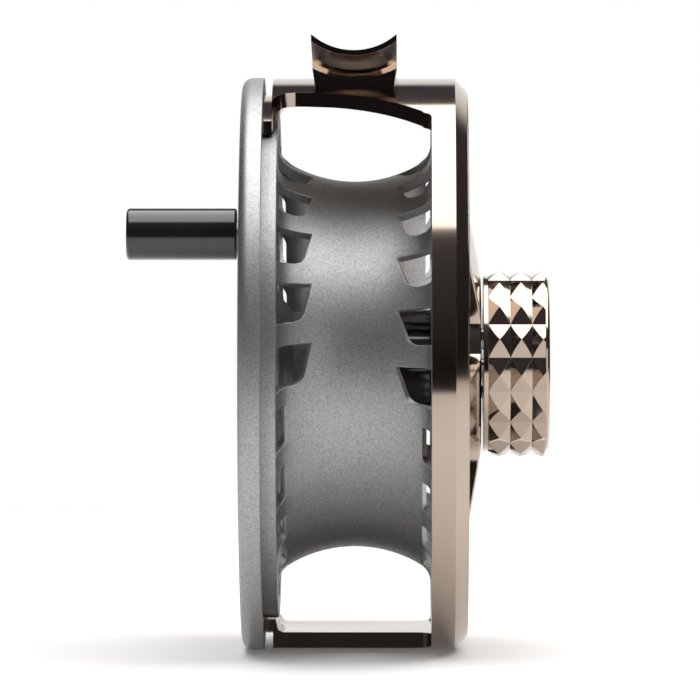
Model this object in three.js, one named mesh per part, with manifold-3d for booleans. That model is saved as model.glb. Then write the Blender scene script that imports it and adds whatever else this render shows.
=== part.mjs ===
import * as THREE from 'three';
import { mergeVertices } from 'three/addons/utils/BufferGeometryUtils.js';
import Module from 'manifold-3d';

// A large-arbor fly reel, in millimetres. Everything turns about one line parallel to X, the spindle line.
// The handle is at -X, the drag knob at +X and the foot at +Z. Outlines are [place along X, radius] points.

const gap = 0.3; // kept between pieces that touch on the real reel
const seatHeight = 49.2; // spindle line to the bottom of the foot's saddle, which is the origin

const rim = { radius: 45, left: -17.65, right: -14.23, inner: 41.6, edge: 1.7 };
const flange = { radius: 39.9, wallAt: 11.9, edge: 0.4, left: -15, right: 13.3 };
const arbor = { radius: 28.7, curve: 20, curveEnd: 30.3, fillet: 3.64, wall: 1.4 };
const web = { left: -14.8, right: -12.2, outer: 28, windowInner: 13.4, windowOuter: 24.6 };
const hub = { radius: 8.2, right: 0.6, clutchBore: 7.1, clutchEnd: -6.9, bearingBore: 5.3, capBore: 9.7 };

// The ports lean a little with radius. Those near the handle are large and the rest small, for balance.
const ports = { outer: 37, deepTilt: 0.2, largeZone: 46, corner: 1.3 };
const leftPorts = { side: -1, count: 20, half: 5.75, lean: -0.7, largeTop: 6.5, largeBottom: 7.9, small: 10.55 };
const rightPorts = { side: 1, count: 21, half: 5.35, lean: -0.15, largeTop: 6.5, largeBottom: 8.4, small: 10.5 };

const cage = { radius: 44.9, thickness: 2.1, barLeft: -12.8, ringLeft: 11.97, ringRight: 15.65, backAt: 17.7 };
const lip = { radius: 42.27, inner: 40.4, left: -14.3 };
const backPlate = { left: 14.2, ringInner: 36, chamfer: 2.2, slopeFrom: 26, hubTop: 19.8, bossRadius: 13.4 };
const arms = { count: 5, hubHalf: 5, midHalf: 5.75, ringHalf: 7.6, firstAngle: -90 };
// Half-angles of the two bars, from the top and from the bottom. The top bar widens towards the ring.
const bars = { topLeft: 18, topRight: 29, slopeFrom: -7.8, bottomFront: 10, bottomBack: 17 };
const barEnd = { flare: 5.5, flareWidth: 3.6, corner: 3.2, cornerWidth: 2.4 };

const foot = { length: 64, halfWidth: 6.55, saddle: 10, tip: 0.8, root: 3.2, pedestal: 24, screwAt: 7.5 };
const handle = { ring: 33.5, angle: 38.6, radius: 4, root: -18, end: -35, bore: 3.3, post: 2 };
const knob = { left: 20.1, right: 30.45, valley: 13.8, core: 13.4, peak: 14.67, sides: 16, phase: 6 };
const knurlRows = { first: 20.9, pitch: 3.4, count: 3, end: 29.8 };
const spindle = { radius: 2.5, left: -13.6, right: 27.7, bore: 1.8 };
const can = { radius: 8.7, inner: 7.3, left: 2.6, floor: 12.4, right: 13.9, flange: 12.2 };
const disc = { outer: 6.9, inner: 4.6, thick: 0.7, pitch: 1, first: 4.3 };
const pins = { ring: 5.2, radius: 1, hole: 1.35, count: 3 };
const bolts = { ring: 9.9, radius: 1.2, hole: 1.5, head: 2, headHole: 2.3, count: 3, firstAngle: 60 };
const detent = { ring: 10.9, angle: 0, ball: 0.9, hole: 1.2, depth: 3.2 };
const gear = { teeth: 24, outer: 10.3, root: 9.4, bore: 8.5, left: -0.9, right: 0.3 };
const pawl = { pivotY: -7, pivotZ: 11, boss: 1.5, pin: 0.6, hole: 0.75, left: -0.8, right: 0.2 };
const clickPlate = { radius: 14.4, left: 1, right: 2.3, bore: 5 };
const knobCavity = { radius: 9.1, floor: 24.2, bore: 3, screwWell: 4.6, wellFloor: 27.9 };
const cap = { left: -17.1, right: -14.9, stem: 1.5, stemEnd: -9.6, scallops: 6, scallop: 2, scallopFrom: -15.4 };
const footHoles = { shank: 1.5, head: 2.6, headTop: 43.3, thread: 1.35, from: 40, clear: 1.2 };

const wasm = await Module();
wasm.setup();

const radians = (degrees) => (degrees * Math.PI) / 180;

// A place on a circle about the spindle line. Angles run from the front, -Y, up over the top.
function around(radius, degrees) {
  return { y: -radius * Math.cos(radians(degrees)), z: radius * Math.sin(radians(degrees)) };
}

// An outline turned about X. One that starts and ends on the axis is left open there.
function turned(outline, segments = 32) {
  const points = outline.map(([along, radius]) => new THREE.Vector2(radius, along));
  if (THREE.ShapeUtils.area(points) < 0) points.reverse();
  if (points[0].x > 0 || points.at(-1).x > 0) points.push(points[0].clone());
  const geometry = new THREE.LatheGeometry(points, segments);
  return geometry.rotateZ(-Math.PI / 2);
}

const rod = (radius, from, to, segments = 16) =>
  turned([[from, 0], [from, radius], [to, radius], [to, 0]], segments);

const tube = (inner, outer, from, to, segments = 20) =>
  turned([[from, inner], [from, outer], [to, outer], [to, inner]], segments);

// A round hole for a flat outline.
function roundHole(radius, sides) {
  const corners = [];
  for (let i = 0; i < sides; i += 1) {
    const angle = (-2 * Math.PI * i) / sides;
    corners.push(new THREE.Vector2(Math.cos(angle) * radius, Math.sin(angle) * radius));
  }
  return new THREE.Path(corners);
}

// A flat outline in Y and Z, given thickness along X.
function plate(shape, from, to, curveSegments = 6) {
  const geometry = new THREE.ExtrudeGeometry(shape, { depth: to - from, bevelEnabled: false, curveSegments });
  geometry.applyMatrix4(new THREE.Matrix4().set(0, 0, 1, from, 1, 0, 0, 0, 0, 1, 0, 0, 0, 0, 0, 1));
  return geometry;
}

// Triangles that fill a flat outline, wound the way the outline runs.
// The outline is flattened along whichever axis shows it widest.
function capTriangles(outline) {
  const views = [['x', 'y'], ['y', 'z'], ['z', 'x']].map(([across, up]) =>
    outline.map((point) => new THREE.Vector2(point[across], point[up])),
  );
  const [flat] = views.sort((a, b) => Math.abs(THREE.ShapeUtils.area(b)) - Math.abs(THREE.ShapeUtils.area(a)));
  const direction = Math.sign(THREE.ShapeUtils.area(flat));
  return THREE.ShapeUtils.triangulateShape(flat, []).map(([a, b, c]) => {
    const sameWay = Math.sign(THREE.ShapeUtils.area([flat[a], flat[b], flat[c]])) === direction;
    return sameWay ? [a, b, c] : [a, c, b];
  });
}

// A closed solid through a row of outlines that have the same number of points.
function loft(sections) {
  const count = sections[0].length;
  const faces = [];
  for (let row = 0; row + 1 < sections.length; row += 1) {
    for (let i = 0; i < count; i += 1) {
      const next = (i + 1) % count;
      const a = row * count + i;
      const b = row * count + next;
      faces.push(a, b, b + count, a, b + count, a + count);
    }
  }
  const last = (sections.length - 1) * count;
  for (const [a, b, c] of capTriangles(sections[0])) faces.push(a, c, b);
  for (const [a, b, c] of capTriangles(sections.at(-1))) faces.push(last + a, last + b, last + c);
  const geometry = new THREE.BufferGeometry();
  const places = sections.flat().flatMap((point) => [point.x, point.y, point.z]);
  geometry.setAttribute('position', new THREE.Float32BufferAttribute(places, 3));
  geometry.setIndex(faces);
  return geometry;
}

function solid(geometry) {
  const bare = geometry.clone();
  bare.deleteAttribute('normal');
  bare.deleteAttribute('uv');
  const merged = mergeVertices(bare, 1e-4);
  const corners = merged.index.array;
  const kept = [];
  for (let i = 0; i < corners.length; i += 3) {
    const [a, b, c] = corners.slice(i, i + 3);
    if (a !== b && b !== c && c !== a) kept.push(a, b, c);
  }
  const vertProperties = new Float32Array(merged.attributes.position.array);
  const bodyOf = (triVerts) => new wasm.Manifold(new wasm.Mesh({ numProp: 3, vertProperties, triVerts }));
  const body = bodyOf(new Uint32Array(kept));
  if (body.volume() > 0) return body;
  const turnedOver = [];
  for (let i = 0; i < kept.length; i += 3) turnedOver.push(kept[i], kept[i + 2], kept[i + 1]);
  return bodyOf(new Uint32Array(turnedOver));
}

function shapeOf(body) {
  const mesh = body.simplify(0.01).getMesh();
  const geometry = new THREE.BufferGeometry();
  geometry.setAttribute('position', new THREE.BufferAttribute(mesh.vertProperties, 3));
  geometry.setIndex(new THREE.BufferAttribute(mesh.triVerts, 1));
  return geometry;
}

const join = (shapes) => wasm.Manifold.union(shapes.map(solid));
const cut = (body, shapes) => body.subtract(join(shapes));

const finishes = {
  polishedMetal: { color: 0x7d7068, roughness: 0.16, metalness: 1 },
  blastedMetal: { color: 0x8d8f91, roughness: 0.48, metalness: 0.9 },
  satinBlack: { color: 0x17181a, roughness: 0.32, metalness: 0.2 },
  glossBlack: { color: 0x0d0d0f, roughness: 0.12, metalness: 0.4 },
  steel: { color: 0xb4b6b8, roughness: 0.28, metalness: 1 },
  brass: { color: 0xb08d4a, roughness: 0.35, metalness: 1 },
  carbon: { color: 0x242527, roughness: 0.6, metalness: 0.1 },
  rubber: { color: 0x141414, roughness: 0.85, metalness: 0 },
  plastic: { color: 0xd9d5c8, roughness: 0.5, metalness: 0 },
};

const reel = new THREE.Group();
reel.position.z = -seatHeight;

function add(name, geometry, finish, place = {}) {
  const mesh = new THREE.Mesh(geometry, new THREE.MeshStandardMaterial(finishes[finish]));
  mesh.name = name;
  mesh.position.set(place.x ?? 0, place.y ?? 0, place.z ?? 0);
  reel.add(mesh);
  return mesh;
}

// ---- spool

// Radius of the line well at a place along X: one wide arc, then a fillet up to each flange.
function arborPoints(offset, steps, filletSteps) {
  const points = [];
  const centre = arbor.radius + arbor.curve;
  const end = radians(arbor.curveEnd);
  const filletX = Math.sin(end) * (arbor.curve - arbor.fillet);
  const filletR = centre - Math.cos(end) * (arbor.curve - arbor.fillet);
  const steepest = radians(88);
  for (let i = filletSteps; i > 0; i -= 1) {
    const angle = end + ((steepest - end) * i) / filletSteps;
    const radius = arbor.fillet + offset;
    points.push([-filletX - Math.sin(angle) * radius, filletR - Math.cos(angle) * radius]);
  }
  for (let i = 0; i <= steps; i += 1) {
    const angle = -end + (2 * end * i) / steps;
    points.push([Math.sin(angle) * (arbor.curve + offset), centre - Math.cos(angle) * (arbor.curve + offset)]);
  }
  for (let i = 1; i <= filletSteps; i += 1) {
    const angle = end + ((steepest - end) * i) / filletSteps;
    const radius = arbor.fillet + offset;
    points.push([filletX + Math.sin(angle) * radius, filletR - Math.cos(angle) * radius]);
  }
  return points;
}

function wellRadius(along) {
  const arcEnd = Math.sin(radians(arbor.curveEnd)) * arbor.curve;
  const x = Math.abs(along);
  if (x <= arcEnd) return arbor.radius + arbor.curve - Math.sqrt(arbor.curve ** 2 - x ** 2);
  const filletX = Math.sin(radians(arbor.curveEnd)) * (arbor.curve - arbor.fillet);
  const filletR = arbor.radius + arbor.curve - Math.cos(radians(arbor.curveEnd)) * (arbor.curve - arbor.fillet);
  return filletR - Math.sqrt(arbor.fillet ** 2 - (x - filletX) ** 2);
}

function spoolShell() {
  const rimArc = [0, 45, 90].map((degrees) => [
    rim.left + rim.edge - Math.cos(radians(degrees)) * rim.edge,
    rim.radius - rim.edge + Math.sin(radians(degrees)) * rim.edge,
  ]);
  const lipGroove = { floor: rim.right - 0.45, outer: lip.radius + 0.5 };
  const outside = [
    ...rimArc,
    [rim.right, rim.radius],
    [rim.right, lipGroove.outer],
    [lipGroove.floor, lipGroove.outer],
    [lipGroove.floor, flange.radius],
    [-flange.wallAt - flange.edge, flange.radius],
    [-flange.wallAt, flange.radius - flange.edge],
    ...arborPoints(0, 4, 2),
    [flange.wallAt, flange.radius - flange.edge],
    [flange.wallAt + flange.edge, flange.radius],
    [flange.right, flange.radius],
  ];
  const inside = arborPoints(arbor.wall, 4, 1).reverse();
  const left = [
    [web.right, web.outer - 1],
    [web.right, web.windowOuter - 4],
    [web.left, web.windowOuter - 4],
    [web.left, web.outer],
    [flange.left, web.outer],
    [flange.left, ports.outer + 0.8],
    [rim.left + 1.35, ports.outer + 1.4],
    [rim.left + 1.35, rim.inner - 0.4],
    [rim.left, rim.inner],
  ];
  const shell = inside.filter(([along]) => along > web.right && along < flange.right);
  return turned([...outside, [flange.right, shell[0][1]], ...shell, [web.right, shell.at(-1)[1]], ...left], 40);
}

function spoolHub() {
  return turned(
    [
      [web.left, web.windowOuter - 3],
      [web.right, web.windowOuter - 3],
      [web.right + 0.2, 15],
      [-11.2, 10],
      [-9.4, hub.radius],
      [hub.right, hub.radius],
      [hub.right, hub.clutchBore],
      [hub.clutchEnd, hub.clutchBore],
      [hub.clutchEnd, hub.bearingBore],
      [-14.4, hub.bearingBore],
      [-14.4, hub.capBore],
      [-16.4, hub.capBore],
      [-16.4, 11.2],
      [web.left, 12.8],
    ],
    20,
  );
}

// One port: an outline in polar terms at two places along X, joined into a cutter that opens inward.
function portCutter(row, centre, isLarge) {
  const topAt = isLarge ? row.largeTop : row.small;
  const bottomAt = isLarge ? row.largeBottom : row.small;
  const section = (along) => {
    const top = wellRadius(topAt) - ports.deepTilt * (along - topAt);
    const bottom = wellRadius(bottomAt) - ports.deepTilt * (along - bottomAt);
    const round = ports.corner;
    const perDegree = radians(1) * bottom;
    const half = row.half;
    const lean = (radius) => row.lean * (radius - top);
    const outline = [
      [half, top],
      [-half + round / perDegree, bottom],
      [-half + lean(bottom + round), bottom + round],
      [-half + lean(ports.outer), ports.outer],
      [half + lean(ports.outer), ports.outer],
    ];
    return outline.map(([angle, radius]) => {
      const spot = around(radius, centre + angle);
      return new THREE.Vector3(row.side * along, spot.y, spot.z);
    });
  };
  return loft([section(4), section(20)]);
}

function portCutters(row) {
  const cutters = [];
  const pitch = 360 / row.count;
  const offset = row.count % 2 ? pitch / 2 : 0;
  for (let i = 0; i < row.count; i += 1) {
    const fromHandle = ((i * pitch + offset + 180) % 360) - 180;
    cutters.push(portCutter(row, handle.angle + fromHandle, Math.abs(fromHandle) < ports.largeZone));
  }
  return cutters;
}

// Five windows in the web leave five spokes between the hub and the line well.
function webWindow(centre) {
  const shape = new THREE.Shape();
  const innerHalf = 22;
  const outerHalf = 29;
  const corners = [
    [web.windowInner, -innerHalf],
    [web.windowOuter, -outerHalf],
    [web.windowOuter + 0.9, 0],
    [web.windowOuter, outerHalf],
    [web.windowInner, innerHalf],
  ].map(([radius, angle]) => around(radius, centre + angle));
  shape.setFromPoints(corners.map((spot) => new THREE.Vector2(spot.y, spot.z)));
  return plate(shape, web.left - 3, web.right + 3);
}

function spool() {
  const windows = [];
  for (let i = 0; i < 5; i += 1) windows.push(webWindow(handle.angle + 36 + 72 * i));
  const pierced = cut(join([spoolShell(), spoolHub()]), [
    ...portCutters(leftPorts),
    ...portCutters(rightPorts),
    ...windows,
  ]);
  const spot = around(handle.ring, handle.angle);
  const boss = rod(5.2, rim.left + 0.5, flange.left + 2.6, 24).translate(0, spot.y, spot.z);
  const postHole = rod(handle.post + 0.2, rim.left - 1, flange.left + 3, 16).translate(0, spot.y, spot.z);
  return shapeOf(cut(pierced.add(solid(boss)), [postHole]));
}

// ---- frame

// How far a rounded corner stands out at a share of its length, from 1 at its start to 0 where it ends.
const rounding = (share) => 1 - Math.sqrt(Math.max(0, 1 - (1 - share) ** 2));

// The angles, from the top, at which a side window's edges are stated.
function windowAngles(last) {
  const angles = [];
  for (let i = 0; i <= 4; i += 1) angles.push(bars.topLeft + (barEnd.flare * i) / 4);
  angles.push(bars.topLeft + barEnd.flare + 0.01, (bars.topLeft + barEnd.flare + bars.topRight) / 2);
  const afterSlope = bars.topRight;
  const beforeCorner = last - barEnd.corner;
  for (let i = 0; i <= 10; i += 1) angles.push(afterSlope + ((beforeCorner - afterSlope) * i) / 10);
  angles.push(beforeCorner + 0.01);
  for (let i = 1; i <= 4; i += 1) angles.push(beforeCorner + (barEnd.corner * i) / 4);
  return angles;
}

// The window's left and right edges at an angle from the top. Both ends of each bar widen into the rings.
function windowEdges(angle, last) {
  const openLeft = lip.left - 2;
  const alongSlope = Math.max(0, (angle - bars.topLeft) / (bars.topRight - bars.topLeft));
  const slope = bars.slopeFrom + (cage.ringLeft - bars.slopeFrom) * Math.sqrt(alongSlope);
  let left = openLeft;
  let right = Math.min(cage.ringLeft, slope);
  const intoFlare = (angle - bars.topLeft) / barEnd.flare;
  const intoCorner = (last - angle) / barEnd.corner;
  if (intoFlare <= 1) left = cage.barLeft + barEnd.flareWidth * rounding(intoFlare);
  if (intoCorner <= 1) {
    left = cage.barLeft + barEnd.cornerWidth * rounding(intoCorner);
    right = cage.ringLeft - barEnd.cornerWidth * rounding(intoCorner);
  }
  return { left, right };
}

// A cutter for one open side of the cage, from the top bar's edge round to the bottom bar's edge.
function sideWindow(side) {
  const last = 180 - (side < 0 ? bars.bottomFront : bars.bottomBack);
  const inner = lip.inner - 4;
  const outer = cage.radius + 4;
  const sections = windowAngles(last).map((angle) => {
    const { left, right } = windowEdges(angle, last);
    const place = (along, radius) => {
      const across = side * radius * Math.sin(radians(angle));
      return new THREE.Vector3(along, across, radius * Math.cos(radians(angle)));
    };
    return [place(left, inner), place(right, inner), place(right, outer), place(left, outer)];
  });
  return loft(sections);
}

function cageRing() {
  const inside = cage.radius - cage.thickness;
  return turned(
    [
      [cage.barLeft, cage.radius],
      [cage.ringRight, cage.radius],
      [cage.backAt, cage.radius - backPlate.chamfer],
      [cage.backAt, backPlate.ringInner],
      [backPlate.left, backPlate.ringInner],
      [backPlate.left, lip.inner],
      [cage.ringLeft, lip.inner],
      [cage.ringLeft, inside],
      [cage.barLeft + 1.6, inside],
      [cage.barLeft + 0.8, inside - 0.7],
      [cage.barLeft + 0.4, lip.inner],
      [lip.left, lip.inner],
      [lip.left, lip.radius],
      [cage.barLeft, lip.radius],
    ],
    60,
  );
}

function arm(angle) {
  const rows = [
    [8, arms.hubHalf, backPlate.hubTop],
    [backPlate.bossRadius, arms.hubHalf, backPlate.hubTop],
    [17, arms.hubHalf + 0.2, backPlate.hubTop - 0.5],
    [backPlate.slopeFrom, arms.midHalf, cage.backAt],
    [backPlate.ringInner + 2, arms.ringHalf, cage.backAt],
  ];
  const bevel = 0.35;
  const sections = rows.map(([radius, half, top]) => [
    new THREE.Vector3(backPlate.left, -half, radius),
    new THREE.Vector3(top - bevel, -half, radius),
    new THREE.Vector3(top, -half + bevel, radius),
    new THREE.Vector3(top, half - bevel, radius),
    new THREE.Vector3(top - bevel, half, radius),
    new THREE.Vector3(backPlate.left, half, radius),
  ]);
  return loft(sections).rotateX(radians(angle - 90));
}

function boltCutters() {
  const cutters = [];
  for (let i = 0; i < bolts.count; i += 1) {
    const spot = around(bolts.ring, bolts.firstAngle + 120 * i);
    cutters.push(rod(bolts.hole, 11, 21, 10).translate(0, spot.y, spot.z));
    cutters.push(rod(bolts.headHole, backPlate.hubTop - 2, 21, 12).translate(0, spot.y, spot.z));
  }
  return cutters;
}

function pinHoles(radius) {
  const cutters = [];
  for (let i = 0; i < pins.count; i += 1) {
    const spot = around(pins.ring, 120 * i);
    cutters.push(rod(radius, 11, 21, 10).translate(0, spot.y, spot.z));
  }
  return cutters;
}

function upright(radius, from, to, segments = 16) {
  return new THREE.CylinderGeometry(radius, radius, to - from, segments)
    .rotateX(Math.PI / 2)
    .translate(0, 0, (from + to) / 2);
}

function frameCage() {
  const shapes = [cageRing(), rod(backPlate.bossRadius, backPlate.left, backPlate.hubTop, 48)];
  for (let i = 0; i < arms.count; i += 1) shapes.push(arm(arms.firstAngle + (360 / arms.count) * i));
  const spot = around(detent.ring, detent.angle);
  const cutters = [
    sideWindow(-1),
    sideWindow(1),
    rod(spindle.radius + 0.4, 13, 21, 20),
    rod(detent.hole, backPlate.hubTop - detent.depth, 21, 12).translate(0, spot.y, spot.z),
    ...boltCutters(),
    ...pinHoles(pins.hole),
  ];
  for (const y of [-foot.screwAt, foot.screwAt]) {
    cutters.push(upright(footHoles.shank, footHoles.from, 47, 12).translate(0, y, 0));
    cutters.push(upright(footHoles.head, footHoles.from, footHoles.headTop, 16).translate(0, y, 0));
  }
  return shapeOf(cut(join(shapes), cutters));
}

// ---- foot

// Sections across the foot. Each is the hollow saddle above and a parallel curve below.
function footSection(y, thickness) {
  const centre = seatHeight + foot.saddle;
  const reach = Math.asin(foot.halfWidth / foot.saddle);
  const steps = 8;
  const points = [];
  for (let i = 0; i <= steps; i += 1) {
    const angle = -reach + (2 * reach * i) / steps;
    points.push(new THREE.Vector3(Math.sin(angle) * foot.saddle, y, centre - Math.cos(angle) * foot.saddle));
  }
  const below = foot.saddle + thickness;
  for (let i = steps; i >= 0; i -= 1) {
    const x = -foot.halfWidth + (2 * foot.halfWidth * i) / steps;
    points.push(new THREE.Vector3(x, y, centre - Math.sqrt(below ** 2 - x ** 2)));
  }
  return points;
}

function reelFoot() {
  const half = foot.length / 2;
  const rootAt = foot.pedestal / 2 + 1;
  const rows = [
    [-half, foot.tip],
    [-half * 0.7, 1.5],
    [-rootAt, foot.root],
    [rootAt, foot.root],
    [half * 0.7, 1.5],
    [half, foot.tip],
  ];
  const block = new THREE.BoxGeometry(foot.halfWidth * 2 - 0.1, foot.pedestal, 8).translate(0, 0, 43.6);
  const cutters = [rod(cage.radius + gap, -20, 20, 96)];
  for (const y of [-foot.screwAt, foot.screwAt]) {
    const hole = upright(footHoles.thread, footHoles.from, seatHeight - footHoles.clear, 12);
    cutters.push(hole.translate(0, y, 0));
  }
  return shapeOf(cut(join([loft(rows.map(([y, thickness]) => footSection(y, thickness))), block]), cutters));
}

// A countersunk or round-head screw along X, head at +X, with a hexagon socket.
function screwAlongX(shank, tipAt, headAt, headRadius, headEnd) {
  const body = turned(
    [[tipAt, 0], [tipAt, shank - 0.2], [tipAt + 0.3, shank], [headAt, shank], [headAt, headRadius],
      [headEnd - 0.2, headRadius], [headEnd, headRadius - 0.2], [headEnd, 0]],
    16,
  );
  return shapeOf(cut(solid(body), [rod(headRadius * 0.5, headEnd - (headEnd - headAt) * 0.6, headEnd + 1, 6)]));
}

// ---- drag knob

// Rows of four-sided pyramids, wrapped round the knob.
function pyramids() {
  const faces = [];
  const places = [];
  const step = 360 / knob.sides;
  const { first, pitch, count } = knurlRows;
  const corner = (row, i) => {
    const spot = around(knob.valley, knob.phase + step * i);
    return [first + pitch * row, spot.y, spot.z];
  };
  const triangle = (...corners) => {
    for (const place of corners) places.push(...place);
    faces.push(faces.length, faces.length + 1, faces.length + 2);
  };
  for (let i = 0; i < knob.sides; i += 1) {
    for (let row = 0; row < count; row += 1) {
      const spot = around(knob.peak, knob.phase + step * (i + 0.5));
      const peak = [first + pitch * (row + 0.5), spot.y, spot.z];
      triangle(corner(row, i), corner(row + 1, i), peak);
      triangle(corner(row + 1, i), corner(row + 1, i + 1), peak);
      triangle(corner(row + 1, i + 1), corner(row, i + 1), peak);
      triangle(corner(row, i + 1), corner(row, i), peak);
    }
    triangle(corner(0, i + 1), [first, 0, 0], corner(0, i));
    triangle(corner(count, i), [first + pitch * count, 0, 0], corner(count, i + 1));
  }
  const geometry = new THREE.BufferGeometry();
  geometry.setAttribute('position', new THREE.Float32BufferAttribute(places, 3));
  geometry.setIndex(faces);
  return geometry;
}

function dragKnob() {
  const outside = [
    [knob.left, 0],
    [knob.left, knob.valley - 0.3],
    [knob.left + 0.3, knob.valley],
    [knurlRows.first, knob.valley],
    [knurlRows.first, knob.core],
    [knurlRows.end, knob.core],
    [knurlRows.end, knob.valley],
    [knob.right - 0.3, knob.valley - 0.2],
    [knob.right, knob.valley - 0.7],
    [knob.right, 0],
  ];
  const knurl = cut(solid(pyramids()), [rod(20, knurlRows.end, 40)]);
  return shapeOf(
    cut(knurl.add(solid(turned(outside, 32))), [
      rod(knobCavity.radius, knob.left - 1, knobCavity.floor, 24),
      rod(knobCavity.bore, knob.left - 1, knob.right + 1, 20),
      rod(knobCavity.screwWell, knobCavity.wellFloor, knob.right + 1, 20),
    ]),
  );
}

// ---- small parts

function springCoil(coil, wire, from, to, turns) {
  const points = [];
  const perTurn = 7;
  for (let i = 0; i <= turns * perTurn; i += 1) {
    const along = from + ((to - from) * i) / (turns * perTurn);
    const spot = around(coil, (360 * i) / perTurn);
    points.push(new THREE.Vector3(along, spot.y, spot.z));
  }
  const section = new THREE.Shape();
  section.absarc(0, 0, wire, 0, Math.PI * 2);
  const extrudePath = new THREE.CatmullRomCurve3(points);
  const steps = turns * perTurn;
  return new THREE.ExtrudeGeometry(section, { steps, extrudePath, curveSegments: 4, bevelEnabled: false });
}

function bearing(from, to) {
  const inner = spindle.radius + 0.15;
  const outer = hub.bearingBore - 0.2;
  const shield = 0.25;
  const low = inner + 0.7;
  const high = outer - 0.6;
  return turned(
    [[from, inner], [from, low], [from + shield, low], [from + shield, high], [from, high], [from, outer],
      [to, outer], [to, inner]],
    20,
  );
}

function clickGear() {
  const shape = new THREE.Shape();
  const pitch = 360 / gear.teeth;
  const points = [];
  for (let i = gear.teeth; i > 0; i -= 1) {
    const centre = 90 + pitch * (i + 0.5);
    const tooth = [[0.38, gear.root], [0.12, gear.outer], [-0.12, gear.outer], [-0.38, gear.root]];
    for (const [offset, radius] of tooth) {
      const spot = around(radius, centre + offset * pitch);
      points.push(new THREE.Vector2(spot.y, spot.z));
    }
  }
  shape.setFromPoints(points);
  shape.holes.push(roundHole(gear.bore, gear.teeth));
  return plate(shape, gear.left, gear.right);
}

// The pawl is drawn about its pivot: a round boss, an arm over the gear and a beak just clear of its teeth.
function clickPawl() {
  const shape = new THREE.Shape();
  shape.absarc(0, 0, pawl.boss, radians(75), radians(330), false);
  const reach = -pawl.pivotY;
  shape.lineTo(reach - 0.55, 0.75);
  shape.lineTo(reach - 0.12, -0.5);
  shape.lineTo(reach + 0.12, -0.5);
  shape.lineTo(reach + 0.55, 0.75);
  shape.lineTo(reach + 1.1, 1.7);
  shape.holes.push(roundHole(pawl.hole, 12));
  return plate(shape, pawl.left, pawl.right);
}

function spoolCap() {
  const outer = hub.capBore - 0.4;
  const edge = 0.4;
  const outline = [
    [cap.left, 0],
    [cap.left, outer - edge],
    [cap.left + edge, outer],
    [cap.right, outer],
    [cap.right, cap.stem],
    [cap.stemEnd, cap.stem],
    [cap.stemEnd, 0],
  ];
  const body = turned(outline, 24);
  const cutters = [];
  for (let i = 0; i < cap.scallops; i += 1) {
    const spot = around(outer + 1.3, (360 / cap.scallops) * (i + 0.5));
    cutters.push(rod(cap.scallop, cap.left - 1, cap.scallopFrom, 12).translate(0, spot.y, spot.z));
  }
  const slot = new THREE.BoxGeometry(1.2, 1.3, 11).translate(cap.left, 0, 0);
  return shapeOf(cut(solid(body), [...cutters, slot]));
}

function dragHousing() {
  const flangeLeft = 11.9;
  const shaftHole = spindle.radius + 0.6;
  const outline = [
    [can.left, can.inner],
    [can.left, can.radius],
    [flangeLeft, can.radius],
    [flangeLeft, can.flange],
    [can.right, can.flange],
    [can.right, shaftHole],
    [can.floor, shaftHole],
    [can.floor, can.inner],
  ];
  const shankHoles = boltCutters().filter((_, i) => i % 2 === 0);
  return shapeOf(cut(solid(turned(outline, 24)), [...shankHoles, ...pinHoles(pins.hole)]));
}

function addFrameSide() {
  add('frame_cage', frameCage(), 'polishedMetal');
  add('reel_foot', reelFoot(), 'polishedMetal');
  [-foot.screwAt, foot.screwAt].forEach((y, i) => {
    const screw = screwAlongX(1.15, -5, -0.4, 2.3, 0.6).rotateY(Math.PI / 2);
    add(`foot_screw_${i + 1}`, screw, 'steel', { y, z: 42.7 });
  });
  const spindleBody = turned(
    [[spindle.left, spindle.bore], [spindle.left, spindle.radius - 0.3], [spindle.left + 0.4, spindle.radius],
      [13.9, spindle.radius], [14.1, spindle.radius + 0.2], [19, spindle.radius + 0.2], [19.2, spindle.radius],
      [spindle.right, spindle.radius], [spindle.right, 1.6], [22, 1.6], [22, 0], [-9, 0], [-9, spindle.bore]],
    16,
  );
  add('spindle', spindleBody, 'steel');
  add('drag_housing', dragHousing(), 'glossBlack');
  const plateDisc = tube(clickPlate.bore, clickPlate.radius, clickPlate.left, clickPlate.right, 24);
  const pinHole = rod(pawl.pin + 0.15, 0, 3, 10).translate(0, pawl.pivotY, pawl.pivotZ);
  add('click_plate', shapeOf(cut(solid(plateDisc), [pinHole])), 'blastedMetal');
  for (let i = 0; i < bolts.count; i += 1) {
    const screw = screwAlongX(bolts.radius, 12.2, backPlate.hubTop - 1.7, bolts.head, backPlate.hubTop - 0.2);
    add(`housing_screw_${i + 1}`, screw, 'steel', around(bolts.ring, bolts.firstAngle + 120 * i));
  }
  for (let i = 0; i < 3; i += 1) {
    const from = disc.first + 2 * disc.pitch * i;
    add(`steel_disc_${i + 1}`, tube(disc.inner, disc.outer + 0.1, from, from + disc.thick, 24), 'steel');
  }
  add('shaft_seal', tube(4.5, clickPlate.bore - 0.2, 1.1, 2.2, 24), 'rubber');
  const housingRing = new THREE.TorusGeometry(9.2, 0.4, 5, 24).rotateY(Math.PI / 2).translate(2.75, 0, 0);
  add('housing_o_ring', housingRing, 'rubber');
  add('pawl_pin', rod(pawl.pin, -2.6, 2.1, 10), 'steel', { y: pawl.pivotY, z: pawl.pivotZ });
  add('pawl_spring', springCoil(1.05, 0.16, -2.3, -1.2, 3), 'steel', { y: pawl.pivotY, z: pawl.pivotZ });
  add('knob_screw', screwAlongX(1.3, 22.4, 28.9, 4, 30.2), 'steel');
  add('knob_washer', tube(1.7, 4.2, 28.2, 28.6, 24), 'plastic');
  const ballAt = around(detent.ring, detent.angle);
  add('knob_detent_ball', new THREE.SphereGeometry(detent.ball, 10, 8), 'steel', { x: 18.9, ...ballAt });
  add('knob_detent_spring', springCoil(0.75, 0.14, 16.9, 17.7, 3), 'steel', ballAt);
}

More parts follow.
